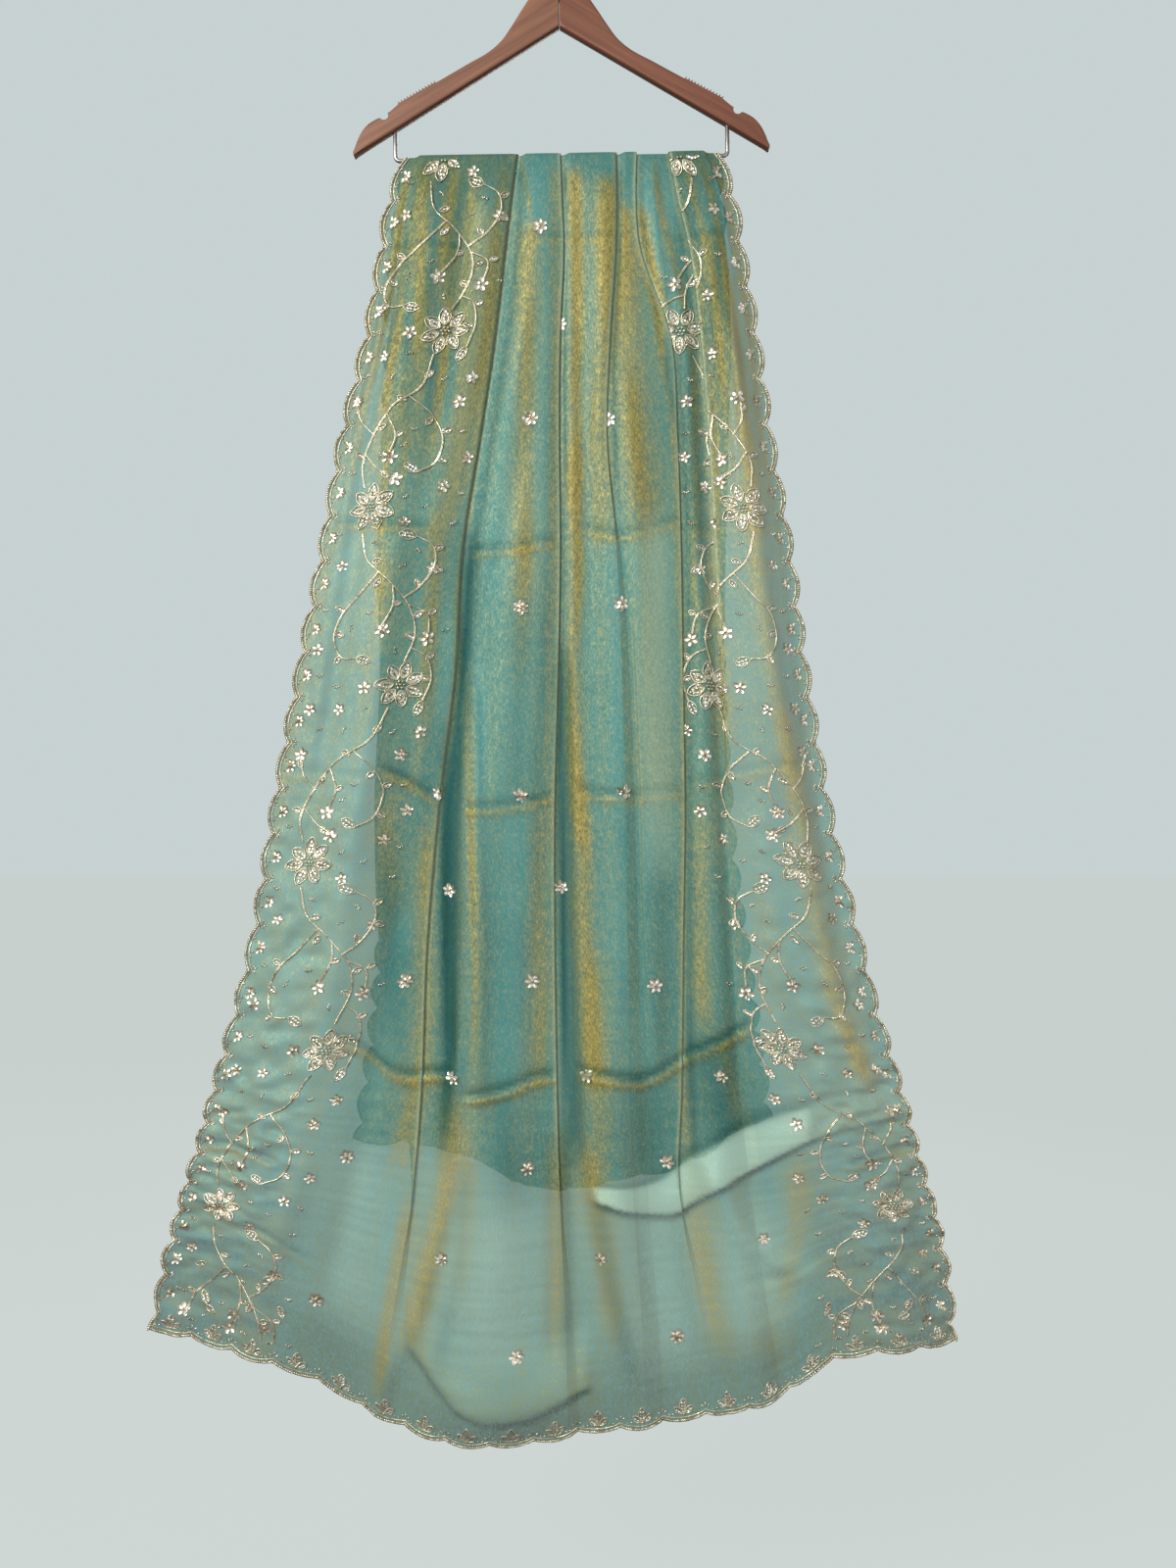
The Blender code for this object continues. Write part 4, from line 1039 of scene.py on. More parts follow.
trailStems = (
    ((48, 26), (60, 55), (88, 78), (114, 104), (126, 134), (120, 164)),
    ((112, 212), (98, 246), (66, 268), (45, 298), (36, 328), (42, 354)),
    ((76, 68), (58, 92), (42, 112), (38, 138), (50, 158), (68, 160)),
    ((106, 96), (122, 82), (132, 60), (126, 40), (108, 30)),
    ((84, 258), (106, 276), (120, 300), (116, 326), (98, 338)),
    ((46, 298), (32, 284), (25, 266)),
    ((124, 148), (142, 158), (151, 180), (146, 204)),
    ((93, 82), (97, 104), (90, 126)),
    ((60, 276), (70, 298), (66, 318)),
    ((38, 318), (54, 334), (72, 344)),
    ((112, 102), (134, 112), (140, 132)),
)
# across, down, direction in degrees from across and length of each leaf
trailLeaves = (
    (108, 30, 195, 20), (68, 160, 20, 18), (98, 338, 215, 18), (146, 204, 110, 17),
    (66, 58, 350, 11), (80, 76, 130, 11), (121, 116, 330, 11), (127, 138, 200, 11), (132, 62, 20, 11),
    (128, 44, 330, 11), (44, 108, 200, 11), (38, 132, 20, 11), (50, 156, 120, 10), (101, 238, 320, 11),
    (80, 262, 210, 11), (48, 292, 330, 11), (37, 322, 200, 11), (119, 296, 340, 11), (117, 322, 30, 11),
    (142, 160, 330, 10), (150, 182, 200, 10), (28, 276, 240, 9), (136, 112, 330, 9), (60, 338, 40, 10),
    (108, 280, 130, 10), (120, 84, 240, 10), (70, 300, 330, 9), (97, 104, 340, 9),
)
# across, down and radius of each small flower
trailFlowers = (
    (90, 130, 8), (66, 322, 8), (25, 260, 7.5), (140, 138, 8), (74, 346, 8), (132, 64, 6.5),
    (24, 150, 7), (84, 190, 7.5), (150, 236, 7), (134, 262, 7.5), (26, 212, 7), (60, 214, 6.5),
    (128, 352, 7), (148, 320, 7), (92, 16, 6.5), (30, 60, 6.5),
)
# across, down, direction and count of each spray of bugle beads
trailSprays = (
    (62, 40, 300, 4), (100, 64, 250, 3), (74, 110, 80, 4), (54, 126, 20, 3), (110, 150, 170, 4),
    (138, 176, 20, 4), (30, 176, 80, 4), (52, 186, 100, 4), (70, 236, 200, 4), (88, 214, 250, 3),
    (40, 236, 260, 4), (120, 236, 60, 4), (140, 292, 90, 4), (90, 290, 100, 4), (78, 308, 60, 3),
    (52, 320, 20, 4), (26, 336, 90, 4), (88, 362, 60, 4), (112, 372, 80, 3), (148, 356, 100, 4),
    (142, 12, 70, 4), (112, 48, 300, 4), (24, 106, 90, 4), (24, 24, 100, 4), (156, 128, 80, 3),
)

# share of the petal's length and side of its middle for each of its sequins
petalSequins = ((0.42, -0.8), (0.42, 0.8), (0.56, -1.15), (0.56, 1.15), (0.7, -0.8), (0.7, 0.8), (0.84, 0))


# A place some way along a direction and to one side of it
def stepFrom(across, down, turn, along, side=0.0):
    return across + along * cos(turn) - side * sin(turn), down + along * sin(turn) + side * cos(turn)


# The outline of a pointed leaf or petal: its run out and back, and its half width as a sine to a power
def leafLoop(count, power):
    u = np.linspace(0, 1, count)
    wave = np.sin(2 * pi * u)
    return 1 - np.abs(1 - 2 * u), np.sign(wave) * np.abs(wave) ** power


# A low ball of six sides and two rings, its poles along its own height
def ballForm():
    ring = np.arange(6) * pi / 3
    rows = [np.stack((np.cos(ring) * cos(tilt), np.sin(ring) * cos(tilt), 0 * ring + sin(tilt)), axis=1)
            for tilt in (0.45, -0.45)]
    points = np.concatenate(([[0, 0, 1]], rows[0], rows[1], [[0, 0, -1]]))
    faces = []
    for k in range(6):
        n = (k + 1) % 6
        faces += [(0, 1 + k, 1 + n), (1 + k, 7 + k, 7 + n), (1 + k, 7 + n, 1 + n), (13, 7 + n, 7 + k)]
    return points, np.array(faces)


# A cupped disc of eight sides, its middle low and its rim high, with a soft fall past the rim
def sequinForm():
    ring = np.arange(8) * pi / 4
    rim = np.stack((np.cos(ring), np.sin(ring), 0 * ring + 1.0), axis=1)
    mid = np.stack((0.45 * np.cos(ring), 0.45 * np.sin(ring), 0 * ring - 0.25), axis=1)
    points = np.concatenate(([[0, 0, -0.6]], mid, rim))
    faces = []
    for k in range(8):
        n = (k + 1) % 8
        faces += [(0, 1 + k, 1 + n), (1 + k, 9 + k, 9 + n), (1 + k, 9 + n, 1 + n)]
    return points, np.array(faces)


# Small forms for one fall: each list holds rows of (across, down, angle, length, width, height),
# the cords hold (points, radius), and all stand on the cloth's own face
class Handwork:
    def __init__(self, shape, seed):
        self.shape, self.cut, self.length = shape, cloth["cut"], shape.length
        self.beads, self.sequins, self.gold, self.cords, self.edge = [], [], [], [], []
        self.dice = np.random.default_rng(seed)

    def inside(self, across, down, rim):
        return rim < across < self.cut - rim and 6.0 < down < self.length - rim

    def bead(self, across, down, angle, length, width, height=1.3, store=None):
        if self.inside(across, down, 6.0):
            kept = self.beads if store is None else store
            kept.append((across, down, angle, length, width, height))

    def sequin(self, across, down, angle, length, width, height=0.7):
        if self.inside(across, down, 6.0):
            self.sequins.append((across, down, angle, length, width, height))

    def cord(self, points, radius):
        points = np.array(points, float)
        low, high = points.min(axis=0), points.max(axis=0)
        if self.inside(low[0], low[1], 7.0) and self.inside(high[0], high[1], 7.0):
            self.cords.append((points, radius))

    # A pointed leaf: a cord up one side and down the other, with sequins down its middle
    def leaf(self, across, down, angle, length):
        turn = radians(angle)
        run, wave = leafLoop(15, 0.8)
        loop = stepFrom(across, down, turn, length * run, 0.27 * length * wave)
        self.cord(np.stack(loop, axis=1), stitches["fineCord"])
        if length > stitches["largeLeaf"]:
            for spot in (0.3, 0.52, 0.74):
                for way in (-1, 1):
                    place = stepFrom(across, down, turn, length * spot, way * 1.7)
                    self.sequin(*place, turn + way * 0.5, 4.6, 2.7)
        else:
            for spot in (0.36, 0.66):
                self.sequin(*stepFrom(across, down, turn, length * spot), turn, 4.2, 3.0)

    # Bugle beads fanned out from a point
    def spray(self, across, down, angle, count, reach=3.2, length=4.2):
        for offset in np.linspace(-0.95, 0.95, count):
            turn = radians(angle) + offset + self.dice.uniform(-0.12, 0.12)
            self.bead(*stepFrom(across, down, turn, reach), turn, length, 1.5)

    # Cupped petals round a gold bead
    def flower(self, across, down, radius, petals=5):
        start = self.dice.uniform(0, 6.2)
        for k in range(petals):
            turn = start + 2 * pi * k / petals
            place = stepFrom(across, down, turn, radius * 0.58)
            self.sequin(*place, turn, radius * 0.95, radius * 0.66, 0.9)
        self.bead(across, down, 0.0, radius * 0.42, radius * 0.42, 1.6, self.gold)

    # Outlined petals with two rows of sequins, dots of gold thread between, and a heart of beads
    def bigFlower(self, across, down, radius, petals):
        start = self.dice.uniform(0, 6.2)
        run, wave = leafLoop(17, 0.72)
        for k in range(petals):
            turn = start + 2 * pi * k / petals + self.dice.uniform(-0.06, 0.06)
            size = radius * self.dice.uniform(0.93, 1.04)
            for scale, cordSize in ((1.0, stitches["cord"] * 0.85), (0.62, stitches["fineCord"] * 0.9)):
                along = size * (0.26 + 0.74 * scale * run + 0.12 * (1 - scale))
                loop = stepFrom(across, down, turn, along, 0.235 * size * scale * wave)
                self.cord(np.stack(loop, axis=1), cordSize)
            for spot, way in petalSequins:
                place = stepFrom(across, down, turn, size * spot, way * 2.0)
                self.sequin(*place, turn + way * 0.5, 5.0, 3.4, 0.8)
            between = turn + pi / petals
            place = stepFrom(across, down, between, size * 0.62)
            self.bead(*place, between, 3.0, 1.8, 1.4, self.gold)
        for k in range(7):
            turn = k * 2 * pi / 6
            place = stepFrom(across, down, turn, 0.0 if k == 6 else 3.9)
            self.bead(*place, turn, 3.4, 3.0, 2.0, self.gold if k % 2 else None)

    # Near the second flower the trail sidesteps the gathers, and low down it stretches with the sides
    def settle(self, points, mirror):
        points = np.array(points, float).reshape(-1, 2)
        shift = self.shape.fall["shift"][1 if mirror else 0]
        points[:, 0] += shift * np.exp(-(((points[:, 1] - 193.0) / 75.0) ** 2))
        start, rate = self.shape.fall["spread"]
        points[:, 1] += rate * np.maximum(points[:, 1] - start, 0.0)
        if mirror:
            points[:, 0] = self.cut - points[:, 0]
        return points

    # The trail on one border; mirror turns it over for the right border
    def trail(self, mirror):
        repeats = int(self.length / stitches["repeat"]) + 2

        def at(across, down, jitter=1.2):
            across = across + self.dice.uniform(-jitter, jitter)
            down = down + self.dice.uniform(-jitter, jitter)
            return self.settle((across, down), mirror)[0]

        def way(angle):
            angle = angle + self.dice.uniform(-9, 9)
            return 180.0 - angle if mirror else angle

        for turn in range(-1, repeats):
            base = stitches["start"] + turn * stitches["repeat"]
            for stem in trailStems:
                raw = np.array(stem, float)
                knots = np.linspace(0, 1, len(raw))
                fine = np.linspace(0, 1, int(np.hypot(*np.diff(raw, axis=0).T).sum() / 3.0) + 3)
                points = np.stack([throughRows(fine, knots, raw[:, k]) for k in (0, 1)], axis=1)
                points[:, 1] += base
                points = self.settle(points, mirror)
                keep = (points[:, 1] > 7) & (points[:, 1] < self.length - 26)
                if keep.sum() > 4:
                    self.cord(points[keep], stitches["cord"])
                    self.cord(points[keep] + (0.9, 0.5), stitches["cord"] * 0.7)
            for across, down, angle, length in trailLeaves:
                x, y = at(across, down + base, 0.6)
                if 8 < y < self.length - 30:
                    self.leaf(x, y, way(angle), length)
            for across, down, radius in trailFlowers:
                x, y = at(across, down + base)
                if y < self.length - 26:
                    self.flower(x, y, radius)
            for across, down, angle, count in trailSprays:
                x, y = at(across, down + base)
                if y < self.length - 24:
                    self.spray(x, y, way(angle), count)
            for place, across in ((0.0, stitches["outer"]), (stitches["repeat"] / 2, stitches["inner"])):
                x, y = at(across, base + place)
                if -20 < y < self.length - 46:
                    self.bigFlower(x, y, stitches["flowerRadius"], stitches["petals"])

    # A rosette inside each scallop and a spray at each cusp, along both sides and the hem
    def scallops(self):
        count, pitch, hemPitch = self.shape.fall["scallopsDown"], self.shape.pitch, self.shape.hemPitch
        for side in (0, 1):
            middle, start, cuspStart = (self.cut - way if side else way for way in (15.5, 7.0, 12.5))
            for k in range(count):
                down = (k + 0.5) * pitch
                for turn in np.radians((0, 52, -52, 110, -110)):
                    reach = 4.0 * cos(turn)
                    place = middle - reach if side else middle + reach
                    self.sequin(place, down + 4.0 * sin(turn), pi - turn if side else turn, 6.2, 4.4, 0.9)
                self.bead(middle, down, 0.0, 3.0, 3.0, 1.7, self.gold)
                self.spray(start, down + 7.0, 160 if side else 20, 2, 2.6, 3.6)
                self.spray(start, down - 7.0, 200 if side else -20, 2, 2.6, 3.6)
                if k < count - 1:
                    self.spray(cuspStart, (k + 1) * pitch, 180 if side else 0, 4, 3.6, 5.0)
        for k in range(cloth["hemScallops"]):
            across = (k + 0.5) * hemPitch
            down = self.length - 10.0
            if 20 < across < self.cut - 20:
                self.leaf(across, down, 270, 15.5)
                self.leaf(across - 1.5, down + 1.0, 222, 11.5)
                self.leaf(across + 1.5, down + 1.0, 318, 11.5)
                self.bead(across, down + 1.5, 0.0, 3.2, 3.2, 1.6, self.gold)
            if k:
                self.spray(k * hemPitch, self.length - 12.0, 270, 3, 4.2, 5.2)
            for offset in (-14, 14):
                self.spray(across + offset, self.length - 8.5, 270, 2, 2.4, 3.2)

    # Leaves, flowers and sprays that fill each corner above the hem, where the trail's repeat is cut
    def corners(self):
        for side in (0, 1):
            for across, up, angle, size in stitches["corner"]:
                place, down = (self.cut - across if side else across), self.length - up
                turn = 180.0 - angle if side else angle
                if size > 12:
                    self.leaf(place, down, turn, size)
                elif size > 6:
                    self.flower(place, down, size)
                else:
                    self.spray(place, down, turn, int(size))

    # Sprigs scattered over the field in staggered rows
    def field(self):
        down = stitches["fieldStart"]
        while down < self.length - 40:
            for across in stitches["fieldColumns"]:
                self.flower(across + self.dice.uniform(-3, 3), down + self.dice.uniform(-3, 3), 8.2, 6)
            for across in stitches["betweenColumns"]:
                if down + 100 < self.length - 40:
                    place, drop = across + self.dice.uniform(-3, 3), down + 100 + self.dice.uniform(-3, 3)
                    self.flower(place, drop, 7.4, 6)
            down += stitches["fieldRows"]

    # Slanting beads on two rows all round the scalloped edge, with a fine cord inside them
    def rim(self):
        foot = self.length - 0.5 * cloth["hemScallop"]
        down = np.linspace(2.0, foot, 6000)
        bottom = np.linspace(1.5, self.cut - 1.5, 4000)
        for inset, form in ((stitches["edgeInset"], "bead"), (stitches["edgeInset"] + 3.4, "cord")):
            side = inset + self.shape.sideIn(down)
            hem = self.length - inset - cloth["hemScallop"] * scallop(bottom / self.shape.hemPitch)
            for line in (np.stack((side, down), axis=1), np.stack((self.cut - side, down), axis=1),
                         np.stack((bottom, hem), axis=1)):
                run = runAlong(line)
                step = stitches["edgePitch"] if form == "bead" else 3.2
                spots = np.arange(step / 2, run[-1], step)
                points = np.stack([np.interp(spots, run, line[:, k]) for k in (0, 1)], axis=1)
                if form == "cord":
                    self.cords.append((points, stitches["fineCord"]))
                    continue
                heading = np.arctan2(*np.gradient(points, axis=0).T[::-1])
                size = stitches["edgeBead"] * self.dice.uniform(0.85, 1.15, len(points))
                self.edge += [(x, y, way + 0.6, bead * 1.5, bead * 0.72, 2.0)
                              for (x, y), way, bead in zip(points, heading, size)]

    # Every form of one kind set on the cloth at once: its template stretched, turned and stood on the face
    def formMesh(self, name, rows, form, finish):
        points, faces = form
        across, down, angle, length, width, height = np.array(rows, float).T
        rise = height / 2
        centre = self.shape.at(across, down, rise)
        acrossWay = self.shape.at(across + 0.8, down, rise) - self.shape.at(across - 0.8, down, rise)
        downWay = self.shape.at(across, down + 0.8, rise) - self.shape.at(across, down - 0.8, rise)
        acrossWay = unit(acrossWay)
        downWay = unit(downWay - (downWay * acrossWay).sum(axis=1, keepdims=True) * acrossWay)
        up = unit(self.shape.at(across, down, rise + 1.0) - centre)
        long = np.cos(angle)[:, None] * acrossWay + np.sin(angle)[:, None] * downWay
        wide = np.cos(angle)[:, None] * downWay - np.sin(angle)[:, None] * acrossWay
        scaled = (points[None, :, 0, None] * long[:, None] * (length / 2)[:, None, None]
                  + points[None, :, 1, None] * wide[:, None] * (width / 2)[:, None, None]
                  + points[None, :, 2, None] * up[:, None] * (height / 2)[:, None, None])
        every = (centre[:, None] + scaled * mm).reshape(-1, 3)
        number = np.arange(len(rows))[:, None, None] * len(points)
        piece = meshFrom(name, every, (faces[None] + number).reshape(-1, 3))
        piece.data.materials.append(finish)
        return piece

    # Every cord as a thin tube: a ring of five points about its path, lifted by its radius
    def cordMesh(self, name, finish):
        allPoints, allFaces, count, sides = [], [], 0, 5
        ring = np.arange(sides) * 2 * pi / sides
        for path, radius in self.cords:
            middle = self.shape.at(path[:, 0], path[:, 1], radius)
            up = unit(self.shape.at(path[:, 0], path[:, 1], radius + 1.0) - middle)
            over = unit(np.cross(np.gradient(middle, axis=0), up))
            tube = middle[:, None] + radius * mm * (np.cos(ring)[None, :, None] * over[:, None]
                                                    + np.sin(ring)[None, :, None] * up[:, None])
            allPoints.append(tube.reshape(-1, 3))
            allFaces.append(gridFaces(len(path), sides, closed=True) + count)
            count += tube.shape[0] * sides
        piece = meshFrom(name, np.concatenate(allPoints), np.concatenate(allFaces))
        piece.data.materials.append(finish)
        return piece


# Metal with a tone that changes from one bead to the next and a roughness that scatters its glints
def makeMetalThread(name, dark, light, roughness, cell):
    made, tree, shader = newMaterial(name, **{"Metallic": 0.72, "Roughness": roughness})
    link = tree.links.new
    where = addNode(tree, "ShaderNodeTexCoord")
    cells = addNode(tree, "ShaderNodeTexVoronoi", {"Scale": cell})
    link(where.outputs["Object"], cells.inputs["Vector"])
    pick = addNode(tree, "ShaderNodeSeparateColor")
    link(cells.outputs["Color"], pick.inputs["Color"])
    mix = addNode(tree, "ShaderNodeMix", {"A": dark, "B": light}, data_type="RGBA")
    link(pick.outputs[0], mix.inputs["Factor"])
    link(mix.outputs["Result"], shader.inputs["Base Color"])
    rough = addNode(tree, "ShaderNodeMapRange", {"To Min": roughness * 0.5, "To Max": roughness * 1.5})
    link(pick.outputs[1], rough.inputs["Value"])
    link(rough.outputs[0], shader.inputs["Roughness"])
    return made


cordFinish = makeMetalThread("zariCord", (0.52, 0.45, 0.28, 1.0), (0.86, 0.81, 0.64, 1.0), 0.42, 400.0)
sequinFinish = makeMetalThread("silverSequin", (0.43, 0.38, 0.26, 1.0), (0.86, 0.82, 0.69, 1.0), 0.30, 150.0)
goldFinish = makeMetalThread("goldBead", (0.46, 0.32, 0.13, 1.0), (0.85, 0.70, 0.42, 1.0), 0.28, 220.0)
edgeFinish = makeMetalThread("edgeBead", (0.40, 0.30, 0.15, 1.0), (0.90, 0.84, 0.66, 1.0), 0.30, 300.0)


def embroider(shape, label):
    hand = Handwork(shape, stitches[label + "Seed"])
    hand.trail(False)
    hand.trail(True)
    hand.scallops()
    hand.corners()
    hand.field()
    hand.rim()
    pieces = [
        hand.cordMesh(label + "Cords", cordFinish),
        hand.formMesh(label + "Sequins", hand.sequins, sequinForm(), sequinFinish),
        hand.formMesh(label + "Bugles", hand.beads, ballForm(), sequinFinish),
        hand.formMesh(label + "GoldBeads", hand.gold, ballForm(), goldFinish),
        hand.formMesh(label + "Rim", hand.edge, ballForm(), edgeFinish),
    ]
    for piece in pieces:
        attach(piece, "root")
    print("embroidery:", label, {p.name: len(p.data.polygons) for p in pieces})
    return pieces


frontWork = embroider(front, "front")
backWork = embroider(back, "back")
print("embroidery: made")

# Wooden hanger on the outline of its solids, with rounder edges and finer grip pins, in millimetres
hanger = {
    "thickness": 12.0,
    "rounding": 2.4,
    "pins": 13,
    "pinHeight": 1.9,
    "pinsStart": (132.0, -173.5),
    "pinsEnd": (174.0, -196.7),
    "neck": ((0.15, -64.0), (8, -64.0), (18, -66.5), (26, -73.5), (32, -85.5), (41.5, -100), (52.5, -117),
             (62, -130), (75, -141.3), (100, -155.4)),
    "notch": {"middle": (188.7, -208.4), "radius": 4.7, "from": 148.0, "to": 331.0},
    "tip": ((196.5, -211.6), (200.2, -213.4), (205, -216.4), (209, -220.2), (213.5, -226.2), (217.4, -234.0),
            (220.8, -243.0), (222.4, -247.6), (221.2, -250.2), (217.8, -248.2)),
    "underPeak": (0.15, -116.0),
    # neck, run to the pins, pins, run to the notch, notch, tip, underside and seam
    "roundness": (1.0, 1.0, 0.0, 1.0, 0.6, 1.0, 1.0, 0.35),
    "tipTaper": 18.0, "tipLeast": 0.12, "notchTaper": 6.0, "notchLeast": 0.1,
}
hook = {"wire": 3.6, "inside": 18.0, "from": -50.0, "to": 205.0, "bend": -46.0, "end": -88.0}
bar = {"rod": 4.5, "height": -255.2, "half": 177.5, "bend": 5.0, "post": -212.0}


# A point of the hanger's own plane, tipped about the hook
def tipped(x, y, z):
    return np.stack((x * cos(lean) - z * sin(lean), y + 0 * x, x * sin(lean) + z * cos(lean)), axis=-1) * mm


# Points set evenly along a line of straight runs
def evenly(points, step):
    points = np.array(points, float)
    run = runAlong(points)
    spots = np.linspace(0, run[-1], max(int(run[-1] / step), 1) + 1)
    return np.stack([np.interp(spots, run, points[:, k]) for k in (0, 1)], axis=1)


# A smooth curve through a few points, by its share of the way
def curveThrough(points, count):
    points = np.array(points, float)
    knots = runAlong(points)
    at = np.linspace(0, knots[-1], count)
    return np.stack([throughRows(at, knots, points[:, k]) for k in (0, 1)], axis=1)


# Half of the hanger's outline, from the seam over the arm to its tip and back underneath
def armOutline():
    top = curveThrough(hanger["neck"], 60)
    start, end = np.array(hanger["pinsStart"]), np.array(hanger["pinsEnd"])
    along = (end - start) / np.linalg.norm(end - start)
    out = np.array((-along[1], along[0]))
    shares = (np.arange(hanger["pins"])[:, None] + np.array((0.26, 0.42, 0.58, 0.74))[None]) / hanger["pins"]
    heights = np.tile((0.0, hanger["pinHeight"], hanger["pinHeight"], 0.0), hanger["pins"])
    pins = start + (end - start) * shares.reshape(-1, 1) + out * heights[:, None]
    notch = hanger["notch"]
    turn = np.radians(np.linspace(notch["from"], notch["to"], 24))
    bowl = np.array(notch["middle"]) + notch["radius"] * np.stack((np.cos(turn), np.sin(turn)), axis=1)
    tip = curveThrough(hanger["tip"], 34)
    under = evenly((hanger["tip"][-1], hanger["underPeak"]), 6.0)[1:]
    seam = evenly((hanger["underPeak"], hanger["neck"][0]), 6.0)[1:-1]
    parts = (top, evenly((hanger["neck"][-1], hanger["pinsStart"]), 4.0)[1:], pins,
             evenly((hanger["pinsEnd"], bowl[0]), 2.0), bowl[1:], tip, under, seam)
    line = np.concatenate(parts)
    share = np.concatenate([np.full(len(part), full) for part, full in zip(parts, hanger["roundness"])])
    fromTip = np.hypot(*(line - np.array(hanger["tip"][-2])).T)
    fromNotch = np.hypot(*(line - np.array(notch["middle"])).T) - notch["radius"]
    share = share * np.clip(fromTip / hanger["tipTaper"], hanger["tipLeast"], 1.0)
    return line, share * np.clip(fromNotch / hanger["notchTaper"], hanger["notchLeast"], 1.0)


# The outline swept through the thickness, drawn in along its own normals near both faces
def armShell(name, side, node, finish):
    line, share = armOutline()
    before, after = np.roll(line, 1, axis=0), np.roll(line, -1, axis=0)
    way = after - before
    inward = unit(np.stack((way[:, 1], -way[:, 0]), axis=1))
    for _ in range(2):
        share = (np.roll(share, 1) + 2 * share + np.roll(share, -1)) / 4
    angles = np.radians(np.linspace(-90, 90, 9))
    radius, half = hanger["rounding"], hanger["thickness"] / 2
    rings = []
    for angle in angles:
        drawn = radius * (1 - cos(angle)) * share[:, None]
        depth = np.sign(angle) * (half - radius) + radius * sin(angle) if angle else 0.0
        flat = line + inward * drawn
        rings.append(tipped(side * flat[:, 0], np.full(len(line), depth), flat[:, 1]))
    points = np.concatenate(rings)
    count = len(line)
    quads = gridFaces(len(rings), count, closed=True).tolist()
    caps = [list(range(count)), list(range((len(rings) - 1) * count, len(rings) * count))[::-1]]
    mesh = bpy.data.meshes.new(name)
    mesh.from_pydata(points.tolist(), [], quads + caps)
    mesh.validate()
    piece = objectOf(mesh)
    work = bmesh.new()
    work.from_mesh(mesh)
    bmesh.ops.recalc_face_normals(work, faces=work.faces)
    work.to_mesh(mesh)
    work.free()
    mesh.shade_smooth()
    mesh.set_sharp_from_angle(angle=radians(40.0))
    for cap in mesh.polygons[-2:]:
        cap.use_smooth = False
    mesh.materials.append(finish)
    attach(piece, "root")
    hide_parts(node)


# A round wire along a path in the hanger's plane, closed by a flat ring at each end
def wire(name, path, diameter, node, finish):
    path = np.array(path, float)
    way = unit(np.gradient(path, axis=0))
    ring = np.arange(16) * pi / 8
    radius = np.full((len(path), 1), diameter / 2)
    radius[0] = radius[-1] = diameter / 2 - 0.5
    x = path[:, :1] - way[:, 1:] * np.cos(ring)[None] * radius
    z = path[:, 1:] + way[:, :1] * np.cos(ring)[None] * radius
    y = np.sin(ring)[None] * radius
    points = tipped(x, y, z).reshape(-1, 3)
    mesh = bpy.data.meshes.new(name)
    ends = [list(range(16))[::-1], list(range((len(path) - 1) * 16, len(path) * 16))]
    mesh.from_pydata(points.tolist(), [], gridFaces(len(path), 16, closed=True).tolist() + ends)
    mesh.validate()
    mesh.shade_smooth()
    piece = objectOf(mesh)
    mesh.materials.append(finish)
    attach(piece, "root")
    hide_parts(node)


# Shank, a soft swing to the side and the round of the hook
def hookPath():
    radius = hook["inside"] + hook["wire"] / 2
    turn = np.radians(np.linspace(hook["from"], hook["to"], 60))
    crown = np.stack((radius * np.cos(turn), radius * np.sin(turn) - hook["inside"]), axis=1)
    t = np.linspace(0, 1, 13)[:-1, None]
    entry, bend = np.array((0.0, hook["bend"] - 6.0)), np.array((0.0, hook["bend"]))
    swing = entry * (1 - t) ** 2 + bend * 2 * t * (1 - t) + crown[0] * t * t
    shank = [[0.0, hook["end"]], [0.0, hook["end"] + 0.5], [0.0, hook["bend"] - 20]]
    return np.concatenate((shank, swing, crown))


# Post, bend, rod, bend and post of the trouser bar
def barPath():
    turn = np.radians(np.linspace(-90, 0, 9))
    middle = (bar["half"] - bar["bend"], bar["height"] + bar["bend"])
    right = np.stack((middle[0] + bar["bend"] * np.cos(turn), middle[1] + bar["bend"] * np.sin(turn)), axis=1)
    left = right[::-1] * (-1, 1)
    post = [(bar["half"], bar["post"] - 0.5), (bar["half"], bar["post"])]
    firstPost = [(-bar["half"], bar["post"]), (-bar["half"], bar["post"] - 0.5)]
    return np.concatenate((firstPost, left, right, post))


def makeWood(name, dark, light):
    made, tree, shader = newMaterial(name, **{"Coat Weight": 0.25, "Coat Roughness": 0.25})
    link = tree.links.new
    where = addNode(tree, "ShaderNodeTexCoord")
    grain = addNode(tree, "ShaderNodeGroup", node_tree=grainGroup)
    slope = radians(31.0 if "left" in name else -31.0)
    turned = addNode(tree, "ShaderNodeMapping", {"Rotation": (0.0, slope, 0.0)})
    link(where.outputs["Object"], turned.inputs["Vector"])
    link(turned.outputs["Vector"], grain.inputs["Vector"])
    ramp = addNode(tree, "ShaderNodeValToRGB")
    ramp.color_ramp.elements[0].position, ramp.color_ramp.elements[0].color = 0.32, dark
    ramp.color_ramp.elements[1].position, ramp.color_ramp.elements[1].color = 0.68, light
    link(grain.outputs["Grain"], ramp.inputs["Fac"])
    link(ramp.outputs["Color"], shader.inputs["Base Color"])
    rough = addNode(tree, "ShaderNodeMapRange", {"To Min": 0.38, "To Max": 0.6})
    link(grain.outputs["Pore"], rough.inputs["Value"])
    link(rough.outputs[0], shader.inputs["Roughness"])
    bump = addNode(tree, "ShaderNodeBump", {"Strength": 0.25, "Distance": 0.0004})
    link(grain.outputs["Pore"], bump.inputs["Height"])
    link(bump.outputs["Normal"], shader.inputs["Normal"])
    return made


